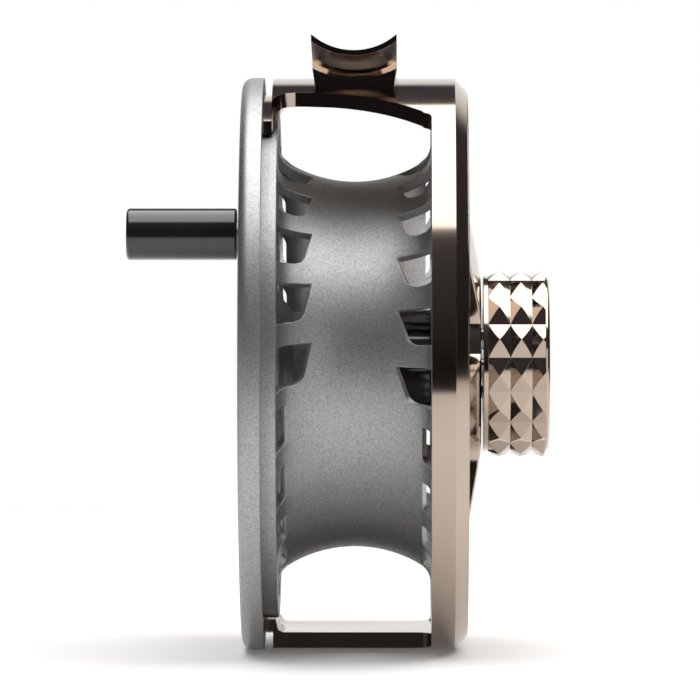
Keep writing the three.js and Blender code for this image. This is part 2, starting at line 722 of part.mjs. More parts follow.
function addDragParts() {
  add('drag_knob', dragKnob(), 'polishedMetal');
  add('push_plate', tube(3.3, 8.7, 21.4, 23.2, 24), 'brass');
  for (let i = 0; i < pins.count; i += 1) {
    add(`push_pin_${i + 1}`, rod(pins.radius, 12.2, 21.1, 12), 'steel', around(pins.ring, 120 * i));
  }
  add('pressure_plate', tube(3.4, disc.outer, 10.9, 11.9, 24), 'steel');
  const coneSpring = [[9.5, 4.7], [10.1, 6.9], [10.4, 6.8], [9.8, 4.6]];
  add('cone_spring', turned(coneSpring, 24), 'steel');
  const rotor = [
    [-6.6, 2.8], [-6.6, 4.2], [3, 4.2], [3, 6.6], [3.9, 6.6], [3.9, 4.2], [9.1, 4.2], [9.1, 2.8],
  ];
  add('drag_rotor', turned(rotor, 20), 'steel');
  for (let i = 0; i < 2; i += 1) {
    const from = disc.first + disc.pitch * (2 * i + 1);
    const ring = tube(disc.inner - 0.1, disc.outer - 0.1, from, from + disc.thick, 24);
    add(`carbon_disc_${i + 1}`, ring, 'carbon');
  }
  add('click_pawl', clickPawl(), 'brass', { y: pawl.pivotY, z: pawl.pivotZ });
}

function addSpoolSide() {
  add('spool', spool(), 'blastedMetal');
  add('bearing_outboard', bearing(-14.1, -11.1), 'steel');
  add('bearing_spacer', tube(3.4, 4.9, -10.8, -10.1, 24), 'brass');
  add('bearing_inboard', bearing(-9.8, -7.2), 'steel');
  add('one_way_clutch', tube(4.5, hub.clutchBore - 0.2, -6.5, -0.4, 32), 'steel');
  add('click_gear', clickGear(), 'brass');
  add('spool_cap', spoolCap(), 'satinBlack');
  const capRing = new THREE.TorusGeometry(6.6, 0.2, 5, 20).rotateY(Math.PI / 2).translate(-14.65, 0, 0);
  add('cap_o_ring', capRing, 'rubber');
}

function addHandle() {
  const place = around(handle.ring, handle.angle);
  const post = turned(
    [[-12.6, 0], [-12.6, handle.post], [-17.3, handle.post], [-17.3, 3.4], [-17.7, 3.4], [-17.7, handle.post],
      [-33.4, handle.post], [-33.4, 1.1], [-27, 1.1], [-27, 0]],
    16,
  );
  add('handle_post', post, 'steel', place);
  const grip = turned(
    [[handle.root, handle.bore], [handle.root, handle.radius - 0.3], [handle.root - 0.3, handle.radius],
      [handle.end + 0.6, handle.radius], [handle.end, handle.radius - 0.6], [handle.end, handle.bore]],
    24,
  );
  add('handle_grip', grip, 'satinBlack', place);
  add('handle_bushing_inner', tube(handle.post + 0.25, handle.bore - 0.2, -22, -18.1, 20), 'plastic', place);
  add('handle_bushing_outer', tube(handle.post + 0.25, handle.bore - 0.2, -33.1, -29.2, 20), 'plastic', place);
  add('handle_washer', tube(1.2, handle.bore - 0.2, -33.9, -33.6, 20), 'steel', place);
  const screw = screwAlongX(0.9, 27.6, 34.1, 2.9, 34.9).rotateZ(Math.PI);
  add('handle_screw', screw, 'steel', place);
}

addFrameSide();
addDragParts();
addSpoolSide();
addHandle();

export default reel;
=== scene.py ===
import bisect
import math

import bmesh
import bpy
from mathutils import Matrix, Vector


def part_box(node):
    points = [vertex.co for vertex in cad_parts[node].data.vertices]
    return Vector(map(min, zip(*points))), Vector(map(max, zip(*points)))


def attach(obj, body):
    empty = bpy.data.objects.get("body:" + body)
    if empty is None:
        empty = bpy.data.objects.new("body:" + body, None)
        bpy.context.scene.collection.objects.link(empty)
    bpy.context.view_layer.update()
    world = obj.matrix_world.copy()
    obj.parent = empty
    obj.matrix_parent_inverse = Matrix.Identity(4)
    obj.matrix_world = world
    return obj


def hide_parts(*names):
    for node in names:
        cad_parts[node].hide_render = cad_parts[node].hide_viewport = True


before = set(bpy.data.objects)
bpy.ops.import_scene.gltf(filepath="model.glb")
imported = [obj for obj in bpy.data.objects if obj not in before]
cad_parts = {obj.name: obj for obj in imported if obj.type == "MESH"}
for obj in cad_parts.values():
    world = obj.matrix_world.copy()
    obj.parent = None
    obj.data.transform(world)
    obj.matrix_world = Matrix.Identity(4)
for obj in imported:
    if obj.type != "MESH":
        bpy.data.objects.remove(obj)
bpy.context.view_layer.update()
scene = bpy.context.scene
mm = 0.001
spindleLow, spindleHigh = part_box("spindle")
axisZ = (spindleLow.z + spindleHigh.z) / 2  # height of the line everything turns about
print("stage: packed reel loaded")

# ---- camera, light and floor

studio = {
    "target": (-0.8, 0.0, 2.2),  # mm from the middle of the spindle line
    "distance": 1200.0,
    "azimuth": 0.4,
    "elevation": 1.9,
    "lens": 392.0,
    "floorFront": -0.30,  # m
    "floorBack": 0.42,
    "floorHalf": 0.85,
    "floorBelow": 45.0,  # mm
    "overheadRise": 0.60,  # m
    "fillRise": 0.10,
}

cameraData = bpy.data.cameras.new("camera")
cameraData.lens = studio["lens"]
cameraData.sensor_width = 36
camera = bpy.data.objects.new("camera", cameraData)
scene.collection.objects.link(camera)
target = Vector(studio["target"]) * mm + Vector((0, 0, axisZ))
azimuth, elevation = math.radians(studio["azimuth"]), math.radians(studio["elevation"])
level = math.cos(elevation)
back = Vector((math.sin(azimuth) * level, -math.cos(azimuth) * level, math.sin(elevation)))
camera.location = target + back * studio["distance"] * mm
camera.rotation_mode = "QUATERNION"
camera.rotation_quaternion = (-back).to_track_quat("-Z", "Y")
scene.camera = camera
scene.view_settings.view_transform = "Standard"


def softbox(name, size, place, aim, power):
    data = bpy.data.lights.new(name, "AREA")
    data.shape = "RECTANGLE"
    data.size, data.size_y = size
    data.energy = power
    lamp = bpy.data.objects.new(name, data)
    scene.collection.objects.link(lamp)
    lamp.location = place
    lamp.rotation_mode = "QUATERNION"
    lamp.rotation_quaternion = (Vector(aim) - Vector(place)).to_track_quat("-Z", "Y")


overhead = axisZ + studio["overheadRise"]
softbox("overheadBox", (0.94, 0.86), (0.13, 0.03, overhead), (0.13, 0.031, 0), 8.6)
softbox("sideFill", (0.30, 0.40), (0.52, -0.72, axisZ + studio["fillRise"]), (0, 0, axisZ), 0.45)

floorLow = axisZ - studio["floorBelow"] * mm
floorMesh = bpy.data.meshes.new("floor")
half, front, rear = studio["floorHalf"], studio["floorFront"], studio["floorBack"]
corners = ((-half, front), (half, front), (half, rear), (-half, rear))
floorMesh.from_pydata([(x, y, floorLow) for x, y in corners], [], [(0, 1, 2, 3)])
floor = bpy.data.objects.new("floor", floorMesh)
scene.collection.objects.link(floor)


def startNodes(owner):  # empties the node tree of a new material or world
    owner.use_nodes = True
    owner.node_tree.nodes.clear()
    return owner.node_tree.nodes, owner.node_tree.links


def startMaterial(name):  # a surface on its way to the output, and a place on the piece for its patterns
    material = bpy.data.materials.new(name)
    nodes, links = startNodes(material)
    output = nodes.new("ShaderNodeOutputMaterial")
    surface = nodes.new("ShaderNodeBsdfPrincipled")
    place = nodes.new("ShaderNodeTexCoord")
    output.label = "finished surface"
    output.location = (1100, 0)
    links.new(surface.outputs["BSDF"], output.inputs["Surface"])
    return material, nodes, links, surface, place


def layOut(nodes, rows, groups):  # labels and places in the editor, then a frame round each effect
    for node, label, where in rows:
        node.label = label
        node.location = where
    for label, held in groups:
        group = nodes.new("NodeFrame")
        group.label = label
        for node in held:
            node.parent = group


def paleFloor():
    material, nodes, links, surface, place = startMaterial("paleFloor")
    paper = nodes.new("ShaderNodeTexNoise")
    tone = nodes.new("ShaderNodeMix")
    layOut(
        nodes,
        (
            (surface, "matt paper", (300, 0)), (place, "floor place", (-600, 0)),
            (paper, "paper fibre", (-350, 0)), (tone, "warm and plain paper", (0, 0)),
        ),
        (("paper tone", (place, paper, tone)),),
    )
    paper.inputs["Scale"].default_value = 40
    tone.data_type = "RGBA"
    tone.inputs[6].default_value = (0.95, 0.935, 0.915, 1)
    tone.inputs[7].default_value = (0.93, 0.915, 0.895, 1)
    surface.inputs["Roughness"].default_value = 0.9
    surface.inputs["Specular IOR Level"].default_value = 0.1
    surface.inputs["Emission Strength"].default_value = 0.10
    links.new(place.outputs["Object"], paper.inputs["Vector"])
    links.new(paper.outputs["Fac"], tone.inputs["Factor"])
    links.new(tone.outputs[2], surface.inputs["Base Color"])
    return material


floorMesh.materials.append(paleFloor())


def studioWorld():
    world = bpy.data.worlds.new("studio")
    scene.world = world
    nodes, links = startNodes(world)
    output = nodes.new("ShaderNodeOutputWorld")
    room = nodes.new("ShaderNodeBackground")
    sheet = nodes.new("ShaderNodeBackground")
    choose = nodes.new("ShaderNodeMixShader")
    rays = nodes.new("ShaderNodeLightPath")
    place = nodes.new("ShaderNodeTexCoord")
    parts = nodes.new("ShaderNodeSeparateXYZ")
    behind = nodes.new("ShaderNodeMapRange")
    low = nodes.new("ShaderNodeMapRange")
    aside = nodes.new("ShaderNodeMath")
    narrow = nodes.new("ShaderNodeMapRange")
    across = nodes.new("ShaderNodeMath")
    both = nodes.new("ShaderNodeMath")
    dim = nodes.new("ShaderNodeMapRange")
    dimColour = nodes.new("ShaderNodeMix")
    colour = nodes.new("ShaderNodeMix")
    layOut(
        nodes,
        (
            (output, "world", (900, 0)), (room, "what the metal mirrors", (400, 0)),
            (sheet, "plain sheet", (400, -200)), (choose, "mirrored or seen", (650, 0)),
            (rays, "seen straight", (400, 250)), (place, "direction", (-900, 0)),
            (parts, "direction parts", (-700, 0)), (behind, "behind the reel", (-450, 200)),
            (low, "below the sheet's top", (-450, -50)), (aside, "distance aside", (-650, 350)),
            (narrow, "within the sheet's width", (-450, 400)), (across, "width and height", (-300, 250)),
            (both, "on the sheet", (-200, 100)), (dim, "height of the room", (-450, -300)),
            (dimColour, "room tone", (-200, -250)), (colour, "sheet or room", (100, 0)),
        ),
        (
            (
                "white sheet behind, dark room in front",
                (place, parts, behind, low, aside, narrow, across, both, dim, dimColour, colour, room),
            ),
            ("plain white behind the reel", (rays, sheet, choose)),
        ),
    )
    for edge, start, end in ((behind, 0.2, 0.5), (low, 0.36, 0.46), (narrow, 0.34, 0.58)):
        edge.interpolation_type = "SMOOTHSTEP"
        edge.inputs["From Min"].default_value = start
        edge.inputs["From Max"].default_value = end
    for edge in (low, narrow):
        edge.inputs["To Min"].default_value = 1
        edge.inputs["To Max"].default_value = 0
    aside.operation = "ABSOLUTE"
    across.operation = "MULTIPLY"
    both.operation = "MULTIPLY"
    dim.inputs["From Min"].default_value = 0.0
    dim.inputs["From Max"].default_value = 0.8
    dimColour.data_type = "RGBA"
    dimColour.inputs[6].default_value = (0.012, 0.012, 0.013, 1)
    dimColour.inputs[7].default_value = (0.09, 0.086, 0.094, 1)
    colour.data_type = "RGBA"
    colour.inputs[7].default_value = (1.0, 1.0, 0.99, 1)
    sheet.inputs["Color"].default_value = (1.0, 1.0, 1.0, 1)
    links.new(place.outputs["Generated"], parts.inputs["Vector"])
    links.new(parts.outputs["Y"], behind.inputs["Value"])
    links.new(parts.outputs["Z"], low.inputs["Value"])
    links.new(parts.outputs["Z"], dim.inputs["Value"])
    links.new(parts.outputs["X"], aside.inputs[0])
    links.new(aside.outputs["Value"], narrow.inputs["Value"])
    links.new(low.outputs["Result"], across.inputs[0])
    links.new(narrow.outputs["Result"], across.inputs[1])
    links.new(behind.outputs["Result"], both.inputs[0])
    links.new(across.outputs["Value"], both.inputs[1])
    links.new(dim.outputs["Result"], dimColour.inputs["Factor"])
    links.new(dimColour.outputs[2], colour.inputs[6])
    links.new(both.outputs["Value"], colour.inputs["Factor"])
    links.new(colour.outputs[2], room.inputs["Color"])
    links.new(rays.outputs["Is Camera Ray"], choose.inputs["Fac"])
    links.new(room.outputs["Background"], choose.inputs[1])
    links.new(sheet.outputs["Background"], choose.inputs[2])
    links.new(choose.outputs["Shader"], output.inputs["Surface"])


studioWorld()
print("stage: camera, light and floor")

# ---- finishes


def turnedMetal(name, colour, roughness, lines, lift):  # metal off the lathe, with fine turning lines
    material, nodes, links, surface, place = startMaterial(name)
    stretch = nodes.new("ShaderNodeMapping")
    toolLines = nodes.new("ShaderNodeTexNoise")
    handling = nodes.new("ShaderNodeTexNoise")
    dye = nodes.new("ShaderNodeTexNoise")
    tone = nodes.new("ShaderNodeMix")
    gloss = nodes.new("ShaderNodeMapRange")
    smear = nodes.new("ShaderNodeMapRange")
    total = nodes.new("ShaderNodeMath")
    relief = nodes.new("ShaderNodeBump")
    layOut(
        nodes,
        (
            (surface, "metal surface", (600, 0)), (place, "place on the reel", (-900, 0)),
            (stretch, "drawn round the spindle", (-700, -200)), (toolLines, "tool lines", (-450, -200)),
            (handling, "handling marks", (-450, 50)), (dye, "dye patches", (-450, 300)),
            (tone, "dye tone", (0, 300)), (gloss, "line gloss", (-150, -100)),
            (smear, "smeared gloss", (-150, 100)), (total, "whole roughness", (150, 0)),
            (relief, "line relief", (300, -300)),
        ),
        (
            ("turning lines", (stretch, toolLines, relief)),
            ("uneven dye", (dye, tone)),
            ("gloss and handling marks", (handling, gloss, smear, total)),
        ),
    )
    stretch.inputs["Scale"].default_value = (lines, lines * 0.004, lines * 0.004)
    for noise, scale, detail in ((toolLines, 1, 3), (handling, 140, 5), (dye, 45, 2)):
        noise.inputs["Scale"].default_value = scale
        noise.inputs["Detail"].default_value = detail
    tone.data_type = "RGBA"
    tone.inputs[6].default_value = (*[c * 0.96 for c in colour], 1)
    tone.inputs[7].default_value = (*[min(1, c * 1.04) for c in colour], 1)
    gloss.inputs["To Min"].default_value = roughness * 0.7
    gloss.inputs["To Max"].default_value = roughness * 1.2
    smear.inputs["From Min"].default_value = 0.35
    smear.inputs["From Max"].default_value = 0.75
    smear.inputs["To Min"].default_value = 0.0
    smear.inputs["To Max"].default_value = roughness * 0.35
    relief.inputs["Strength"].default_value = lift
    relief.inputs["Distance"].default_value = 0.00002
    surface.inputs["Metallic"].default_value = 1
    links.new(place.outputs["Object"], stretch.inputs["Vector"])
    links.new(stretch.outputs["Vector"], toolLines.inputs["Vector"])
    links.new(place.outputs["Object"], handling.inputs["Vector"])
    links.new(place.outputs["Object"], dye.inputs["Vector"])
    links.new(dye.outputs["Fac"], tone.inputs["Factor"])
    links.new(tone.outputs[2], surface.inputs["Base Color"])
    links.new(toolLines.outputs["Fac"], gloss.inputs["Value"])
    links.new(handling.outputs["Fac"], smear.inputs["Value"])
    links.new(gloss.outputs["Result"], total.inputs[0])
    links.new(smear.outputs["Result"], total.inputs[1])
    links.new(total.outputs["Value"], surface.inputs["Roughness"])
    links.new(toolLines.outputs["Fac"], relief.inputs["Height"])
    links.new(relief.outputs["Normal"], surface.inputs["Normal"])
    return material


def blastedMetal(name, colour, roughness):  # bead-blasted and dyed aluminium; its glitter is painted into the colour as lighter and darker grains
    material, nodes, links, surface, place = startMaterial(name)
    pits = nodes.new("ShaderNodeTexNoise")
    paintedGlints = nodes.new("ShaderNodeTexVoronoi")
    dye = nodes.new("ShaderNodeTexNoise")
    paintedGlintTone = nodes.new("ShaderNodeMapRange")
    tone = nodes.new("ShaderNodeMix")
    dyeWithPaintedGlints = nodes.new("ShaderNodeMix")
    gloss = nodes.new("ShaderNodeMapRange")
    relief = nodes.new("ShaderNodeBump")
    layOut(
        nodes,
        (
            (surface, "blasted surface", (700, 0)), (place, "place on the spool", (-900, 0)),
            (pits, "bead pits", (-600, -250)), (paintedGlints, "painted glints", (-600, 50)),
            (dye, "dye patches", (-600, 350)), (paintedGlintTone, "painted glint brightness", (-300, 50)),
            (tone, "dye tone", (-100, 350)), (dyeWithPaintedGlints, "dye with painted glints", (200, 200)),
            (gloss, "pit gloss", (100, -100)), (relief, "pit relief", (400, -300)),
        ),
        (
            ("painted glitter of the blasted face", (paintedGlints, paintedGlintTone, dyeWithPaintedGlints)),
            ("dye tone", (dye, tone)),
            ("blasted pits", (pits, gloss, relief)),
        ),
    )
    for noise, scale, detail in ((pits, 5200, 2), (dye, 60, 3)):
        noise.inputs["Scale"].default_value = scale
        noise.inputs["Detail"].default_value = detail
    # painted glints: small cells lighten or darken the base colour, standing in for the sparkle of the
    # blasted face
    paintedGlints.feature = "F1"
    paintedGlints.inputs["Scale"].default_value = 6200
    paintedGlintTone.inputs["To Min"].default_value = 0.72
    paintedGlintTone.inputs["To Max"].default_value = 1.30
    tone.data_type = "RGBA"
    tone.inputs[6].default_value = (*[c * 0.95 for c in colour], 1)
    tone.inputs[7].default_value = (*[c * 1.05 for c in colour], 1)
    dyeWithPaintedGlints.data_type = "RGBA"
    dyeWithPaintedGlints.blend_type = "MULTIPLY"
    dyeWithPaintedGlints.inputs["Factor"].default_value = 1
    gloss.inputs["To Min"].default_value = roughness - 0.06
    gloss.inputs["To Max"].default_value = roughness + 0.06
    relief.inputs["Strength"].default_value = 0.32
    relief.inputs["Distance"].default_value = 0.00004
    surface.inputs["Metallic"].default_value = 1
    links.new(place.outputs["Object"], pits.inputs["Vector"])
    links.new(place.outputs["Object"], paintedGlints.inputs["Vector"])
    links.new(place.outputs["Object"], dye.inputs["Vector"])
    links.new(dye.outputs["Fac"], tone.inputs["Factor"])
    # the painted glint brightness multiplies the dye tone
    links.new(paintedGlints.outputs["Color"], paintedGlintTone.inputs["Value"])
    links.new(tone.outputs[2], dyeWithPaintedGlints.inputs[6])
    links.new(paintedGlintTone.outputs["Result"], dyeWithPaintedGlints.inputs[7])
    links.new(dyeWithPaintedGlints.outputs[2], surface.inputs["Base Color"])
    links.new(pits.outputs["Fac"], gloss.inputs["Value"])
    links.new(gloss.outputs["Result"], surface.inputs["Roughness"])
    links.new(pits.outputs["Fac"], relief.inputs["Height"])
    links.new(relief.outputs["Normal"], surface.inputs["Normal"])
    return material


def mouldedOrDyed(name, colour, roughness, coat, grain, lift):  # black anodising, rubber and plastic
    material, nodes, links, surface, place = startMaterial(name)
    grainNoise = nodes.new("ShaderNodeTexNoise")
    wear = nodes.new("ShaderNodeTexNoise")
    tone = nodes.new("ShaderNodeMix")
    gloss = nodes.new("ShaderNodeMapRange")
    relief = nodes.new("ShaderNodeBump")
    layOut(
        nodes,
        (
            (surface, "coated surface", (500, 0)), (place, "place on the piece", (-700, 0)),
            (grainNoise, "fine grain", (-450, -200)), (wear, "rubbed patches", (-450, 150)),
            (tone, "rubbed tone", (-50, 250)), (gloss, "rubbed gloss", (-50, 0)),
            (relief, "grain relief", (200, -250)),
        ),
        (("surface grain", (grainNoise, relief)), ("handled patches", (wear, tone, gloss))),
    )
    for noise, scale, detail in ((grainNoise, grain, 3), (wear, 170, 4)):
        noise.inputs["Scale"].default_value = scale
        noise.inputs["Detail"].default_value = detail
    tone.data_type = "RGBA"
    tone.inputs[6].default_value = (*[c * 0.85 for c in colour], 1)
    tone.inputs[7].default_value = (*[min(1, c * 1.15) for c in colour], 1)
    gloss.inputs["To Min"].default_value = roughness * 0.85
    gloss.inputs["To Max"].default_value = roughness * 1.15
    relief.inputs["Strength"].default_value = lift
    relief.inputs["Distance"].default_value = 0.00003
    surface.inputs["Coat Weight"].default_value = coat
    surface.inputs["Coat Roughness"].default_value = 0.12
    links.new(place.outputs["Object"], grainNoise.inputs["Vector"])
    links.new(place.outputs["Object"], wear.inputs["Vector"])
    links.new(wear.outputs["Fac"], tone.inputs["Factor"])
    links.new(tone.outputs[2], surface.inputs["Base Color"])
    links.new(wear.outputs["Fac"], gloss.inputs["Value"])
    links.new(gloss.outputs["Result"], surface.inputs["Roughness"])
    links.new(grainNoise.outputs["Fac"], relief.inputs["Height"])
    links.new(relief.outputs["Normal"], surface.inputs["Normal"])
    return material


def wovenCarbon():
    material, nodes, links, surface, place = startMaterial("wovenCarbon")
    weave = nodes.new("ShaderNodeTexChecker")
    strands = nodes.new("ShaderNodeTexNoise")
    tone = nodes.new("ShaderNodeMix")
    gloss = nodes.new("ShaderNodeMapRange")
    relief = nodes.new("ShaderNodeBump")
    layOut(
        nodes,
        (
            (surface, "resin face", (500, 0)), (place, "place on the disc", (-700, 0)),
            (weave, "over and under", (-400, 200)), (strands, "loose strands", (-400, -150)),
            (tone, "tow tone", (0, 200)), (gloss, "strand gloss", (0, -50)),
            (relief, "weave relief", (200, -250)),
        ),
        (("weave", (weave, tone, relief)), ("strands", (strands, gloss))),
    )
    weave.inputs["Scale"].default_value = 900
    weave.inputs["Color1"].default_value = (0.020, 0.020, 0.022, 1)
    weave.inputs["Color2"].default_value = (0.045, 0.045, 0.048, 1)
    strands.inputs["Scale"].default_value = 3000
    tone.data_type = "RGBA"
    tone.inputs["Factor"].default_value = 0.3
    tone.blend_type = "MULTIPLY"
    gloss.inputs["To Min"].default_value = 0.35
    gloss.inputs["To Max"].default_value = 0.65
    relief.inputs["Strength"].default_value = 0.3
    relief.inputs["Distance"].default_value = 0.00003
    links.new(place.outputs["Object"], weave.inputs["Vector"])
    links.new(place.outputs["Object"], strands.inputs["Vector"])
    links.new(weave.outputs["Color"], tone.inputs[6])
    links.new(strands.outputs["Color"], tone.inputs[7])
    links.new(tone.outputs[2], surface.inputs["Base Color"])
    links.new(strands.outputs["Fac"], gloss.inputs["Value"])
    links.new(gloss.outputs["Result"], surface.inputs["Roughness"])
    links.new(weave.outputs["Fac"], relief.inputs["Height"])
    links.new(relief.outputs["Normal"], surface.inputs["Normal"])
    return material


finishes = {
    "polished_metal": turnedMetal("polishedFrame", (0.42, 0.345, 0.285), 0.10, 9000, 0.05),
    "blasted_metal": blastedMetal("blastedSpool", (0.393, 0.396, 0.402), 0.48),
    "satin_black": mouldedOrDyed("satinBlack", (0.011, 0.011, 0.012), 0.20, 0.5, 3000, 0.03),
    "gloss_black": mouldedOrDyed("glossBlack", (0.008, 0.008, 0.009), 0.12, 1.0, 2500, 0.02),
    "steel": turnedMetal("turnedSteel", (0.56, 0.56, 0.57), 0.24, 6000, 0.10),
    "brass": turnedMetal("turnedBrass", (0.64, 0.48, 0.22), 0.26, 6000, 0.10),
    "carbon": wovenCarbon(),
    "rubber": mouldedOrDyed("mouldedRubber", (0.018, 0.018, 0.018), 0.7, 0.0, 1500, 0.3),
    "plastic": mouldedOrDyed("bearingPlastic", (0.72, 0.70, 0.64), 0.45, 0.0, 900, 0.1),
}
nodeFinish = {
    "steel": (
        "foot_screw_1", "foot_screw_2", "spindle", "housing_screw_1", "housing_screw_2", "housing_screw_3",
        "steel_disc_1", "steel_disc_2", "steel_disc_3", "cone_spring", "pawl_pin", "pawl_spring",
        "knob_detent_ball", "knob_detent_spring", "push_pin_1", "push_pin_2", "push_pin_3", "pressure_plate",
        "drag_rotor", "bearing_outboard", "bearing_inboard", "one_way_clutch", "handle_post", "handle_washer",
    ),
    "brass": ("push_plate", "click_pawl", "click_gear", "bearing_spacer"),
    "blasted_metal": ("click_plate",),
    "carbon": ("carbon_disc_1", "carbon_disc_2"),
    "rubber": ("shaft_seal", "housing_o_ring", "cap_o_ring"),
    "plastic": ("knob_washer", "handle_bushing_inner", "handle_bushing_outer"),
}
for slotName, names in nodeFinish.items():
    for nodeName in names:
        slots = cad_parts[nodeName].data.materials
        slots.clear()
        slots.append(finishes[slotName])
print("stage: finishes")

# ---- making

weldGap = 0.000002  # m, how close two vertices are merged


def spot(along, radius, degrees):  # degrees run from the front, over the top
    turn = math.radians(degrees)
    return Vector((along * mm, -radius * math.cos(turn) * mm, axisZ + radius * math.sin(turn) * mm))


def rounding(share):  # 1 where a rounded corner starts, 0 where it ends
    return 1 - math.sqrt(max(0.0, 1 - (1 - min(max(share, 0.0), 1.0)) ** 2))


def smooth(share):
    share = min(max(share, 0.0), 1.0)
    return share * share * (3 - 2 * share)


def between(rows, value):  # straight lines through (place, height) pairs
    for (a, low), (b, high) in zip(rows, rows[1:]):
        if value <= b:
            return low + (high - low) * max(0.0, (value - a) / (b - a))
    return rows[-1][1]


def finish(name, mesh, slotName, body, replaced=(), edge=0.15, steps=2, angle=28):
    piece = bpy.data.objects.new(name, mesh)
    scene.collection.objects.link(piece)
    mesh.materials.clear()
    mesh.materials.append(finishes[slotName])
    mesh.shade_smooth()
    if edge:
        brokenEdge = piece.modifiers.new("brokenEdge", "BEVEL")
        brokenEdge.width = edge * mm
        brokenEdge.segments = steps
        brokenEdge.limit_method = "ANGLE"
        brokenEdge.angle_limit = math.radians(angle)
        brokenEdge.use_clamp_overlap = True  # a wide bevel stops where two edges meet
        brokenEdge.harden_normals = True
    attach(piece, body)
    if replaced:
        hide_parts(*replaced)
    return piece


def applied(helper):  # a helper's mesh with its modifiers applied
    return bpy.data.meshes.new_from_object(helper.evaluated_get(bpy.context.evaluated_depsgraph_get()))


def turned(outline, steps, at=(0.0, 0.0)):  # (along, radius) pairs spun round a line parallel to the spindle
    mesh = bpy.data.meshes.new("turned")
    count = len(outline)
    closed = outline[0][1] > 0 or outline[-1][1] > 0
    edges = [(i, i + 1) for i in range(count - 1)] + ([(count - 1, 0)] if closed else [])
    mesh.from_pydata([(radius * mm, 0, along * mm) for along, radius in outline], edges, [])
    helper = bpy.data.objects.new("turned", mesh)
    scene.collection.objects.link(helper)
    lathe = helper.modifiers.new("lathe", "SCREW")
    lathe.axis = "Z"
    lathe.steps = lathe.render_steps = steps
    lathe.use_merge_vertices = True
    lathe.merge_threshold = weldGap
    made = applied(helper)
    bpy.data.objects.remove(helper)
    place = Matrix.Translation((0, at[0] * mm, axisZ + at[1] * mm))
    made.transform(place @ Matrix.Rotation(math.radians(90), 4, "Y"))
    shell = bmesh.new()
    shell.from_mesh(made)
    bmesh.ops.remove_doubles(shell, verts=shell.verts, dist=weldGap / 2)
    bmesh.ops.recalc_face_normals(shell, faces=shell.faces)
    shell.to_mesh(made)
    shell.free()
    return made


def gridFaces(shell, rows, isOpen):  # quads between rings of vertices, less the open cells
    count = len(rows[0])
    for r in range(len(rows) - 1):
        for c in range(count):
            if not isOpen(c, r):
                n = (c + 1) % count
                shell.faces.new((rows[r][c], rows[r][n], rows[r + 1][n], rows[r + 1][c]))
    bmesh.ops.delete(shell, geom=[v for v in shell.verts if not v.link_faces], context="VERTS")


def thicken(shell, farSide):  # a second face for a sheet, with walls round every edge
    near = list(shell.faces)
    rims = [e for e in shell.edges if len(e.link_faces) == 1]
    twin = {v: shell.verts.new(farSide(v.co)) for v in list(shell.verts)}
    for face in near:
        shell.faces.new([twin[v] for v in reversed(face.verts)])
    for e in rims:
        a, b = e.verts
        shell.faces.new((a, b, twin[b], twin[a]))
    bmesh.ops.recalc_face_normals(shell, faces=shell.faces)


def meshFrom(shell, name):
    mesh = bpy.data.meshes.new(name)
    shell.to_mesh(mesh)
    shell.free()
    return mesh


def carve(mesh, cutters):  # takes cutters, made as meshes, out of a mesh
    solid = bpy.data.objects.new("carved", mesh)
    scene.collection.objects.link(solid)
    helpers = []
    for cutter in cutters:
        helper = bpy.data.objects.new("cutter", cutter)
        scene.collection.objects.link(helper)
        helpers.append(helper)
        cut = solid.modifiers.new("cut", "BOOLEAN")
        cut.operation = "DIFFERENCE"
        cut.solver = "EXACT"
        cut.object = helper
    made = applied(solid)
    for helper in helpers + [solid]:
        bpy.data.objects.remove(helper)
    return made


# ---- spool

spool = {
    "arborRadius": 28.7, "arborCurve": 20.0, "curveEnd": 30.3, "fillet": 3.64, "wall": 1.4,
    "flangeRadius": 39.9, "flangeAt": 11.9,
    "columns": 420, "portOuter": 37.0, "corner": 1.3, "largeZone": 46.0,
    "handleAngle": 38.6, "handleRing": 33.5,
    "rimLeft": -17.65, "rimRight": -14.23, "rimRadius": 45.0, "rimRound": 1.7,
    "windowInner": 13.4, "windowOuter": 25.2, "windowInnerHalf": 22.0, "windowOuterHalf": 29.0,
    "windowCorner": 2.0, "webLeft": -14.8, "spokes": 5, "land": 8, "cornerColumns": 5,
}
spool["handlePlace"] = (
    -spool["handleRing"] * math.cos(math.radians(spool["handleAngle"])),
    spool["handleRing"] * math.sin(math.radians(spool["handleAngle"])),
)
portRows = {
    -1: {"count": 20, "half": 5.75, "lean": -0.7, "largeTop": 6.5, "largeBottom": 7.9, "small": 10.55},
    1: {"count": 21, "half": 5.35, "lean": -0.15, "largeTop": 6.5, "largeBottom": 8.4, "small": 10.5},
}


def wellCurve():  # (length along the curve, along, radius) from the middle of the well to a flange's edge
    end = math.radians(spool["curveEnd"])
    centre = spool["arborRadius"] + spool["arborCurve"]
    filletX = math.sin(end) * (spool["arborCurve"] - spool["fillet"])
    filletR = centre - math.cos(end) * (spool["arborCurve"] - spool["fillet"])
    path = []
    for i in range(81):
        turn = end * i / 80
        path.append((math.sin(turn) * spool["arborCurve"], centre - math.cos(turn) * spool["arborCurve"]))
    for i in range(1, 61):
        turn = end + (math.radians(89.9) - end) * i / 60
        path.append((filletX + math.sin(turn) * spool["fillet"], filletR - math.cos(turn) * spool["fillet"]))
    path.append((spool["flangeAt"], spool["flangeRadius"]))
    rows, length = [(0.0, *path[0])], 0.0
    for (x0, r0), (x1, r1) in zip(path, path[1:]):
        length += math.hypot(x1 - x0, r1 - r0)
        rows.append((length, x1, r1))
    return rows


well = wellCurve()
wellLengths = [row[0] for row in well]


def wellAt(length):
    i = min(max(bisect.bisect_right(wellLengths, length) - 1, 0), len(well) - 2)
    share = (length - well[i][0]) / (well[i + 1][0] - well[i][0])
    return [well[i][k] + (well[i + 1][k] - well[i][k]) * share for k in (1, 2)]


def lengthAt(value, part):  # part 1 finds a place along X, part 2 a radius
    values = [row[part] for row in well]
    i = min(max(bisect.bisect_right(values, value) - 1, 0), len(well) - 2)
    return well[i][0] + (well[i + 1][0] - well[i][0]) * (value - values[i]) / (values[i + 1] - values[i])


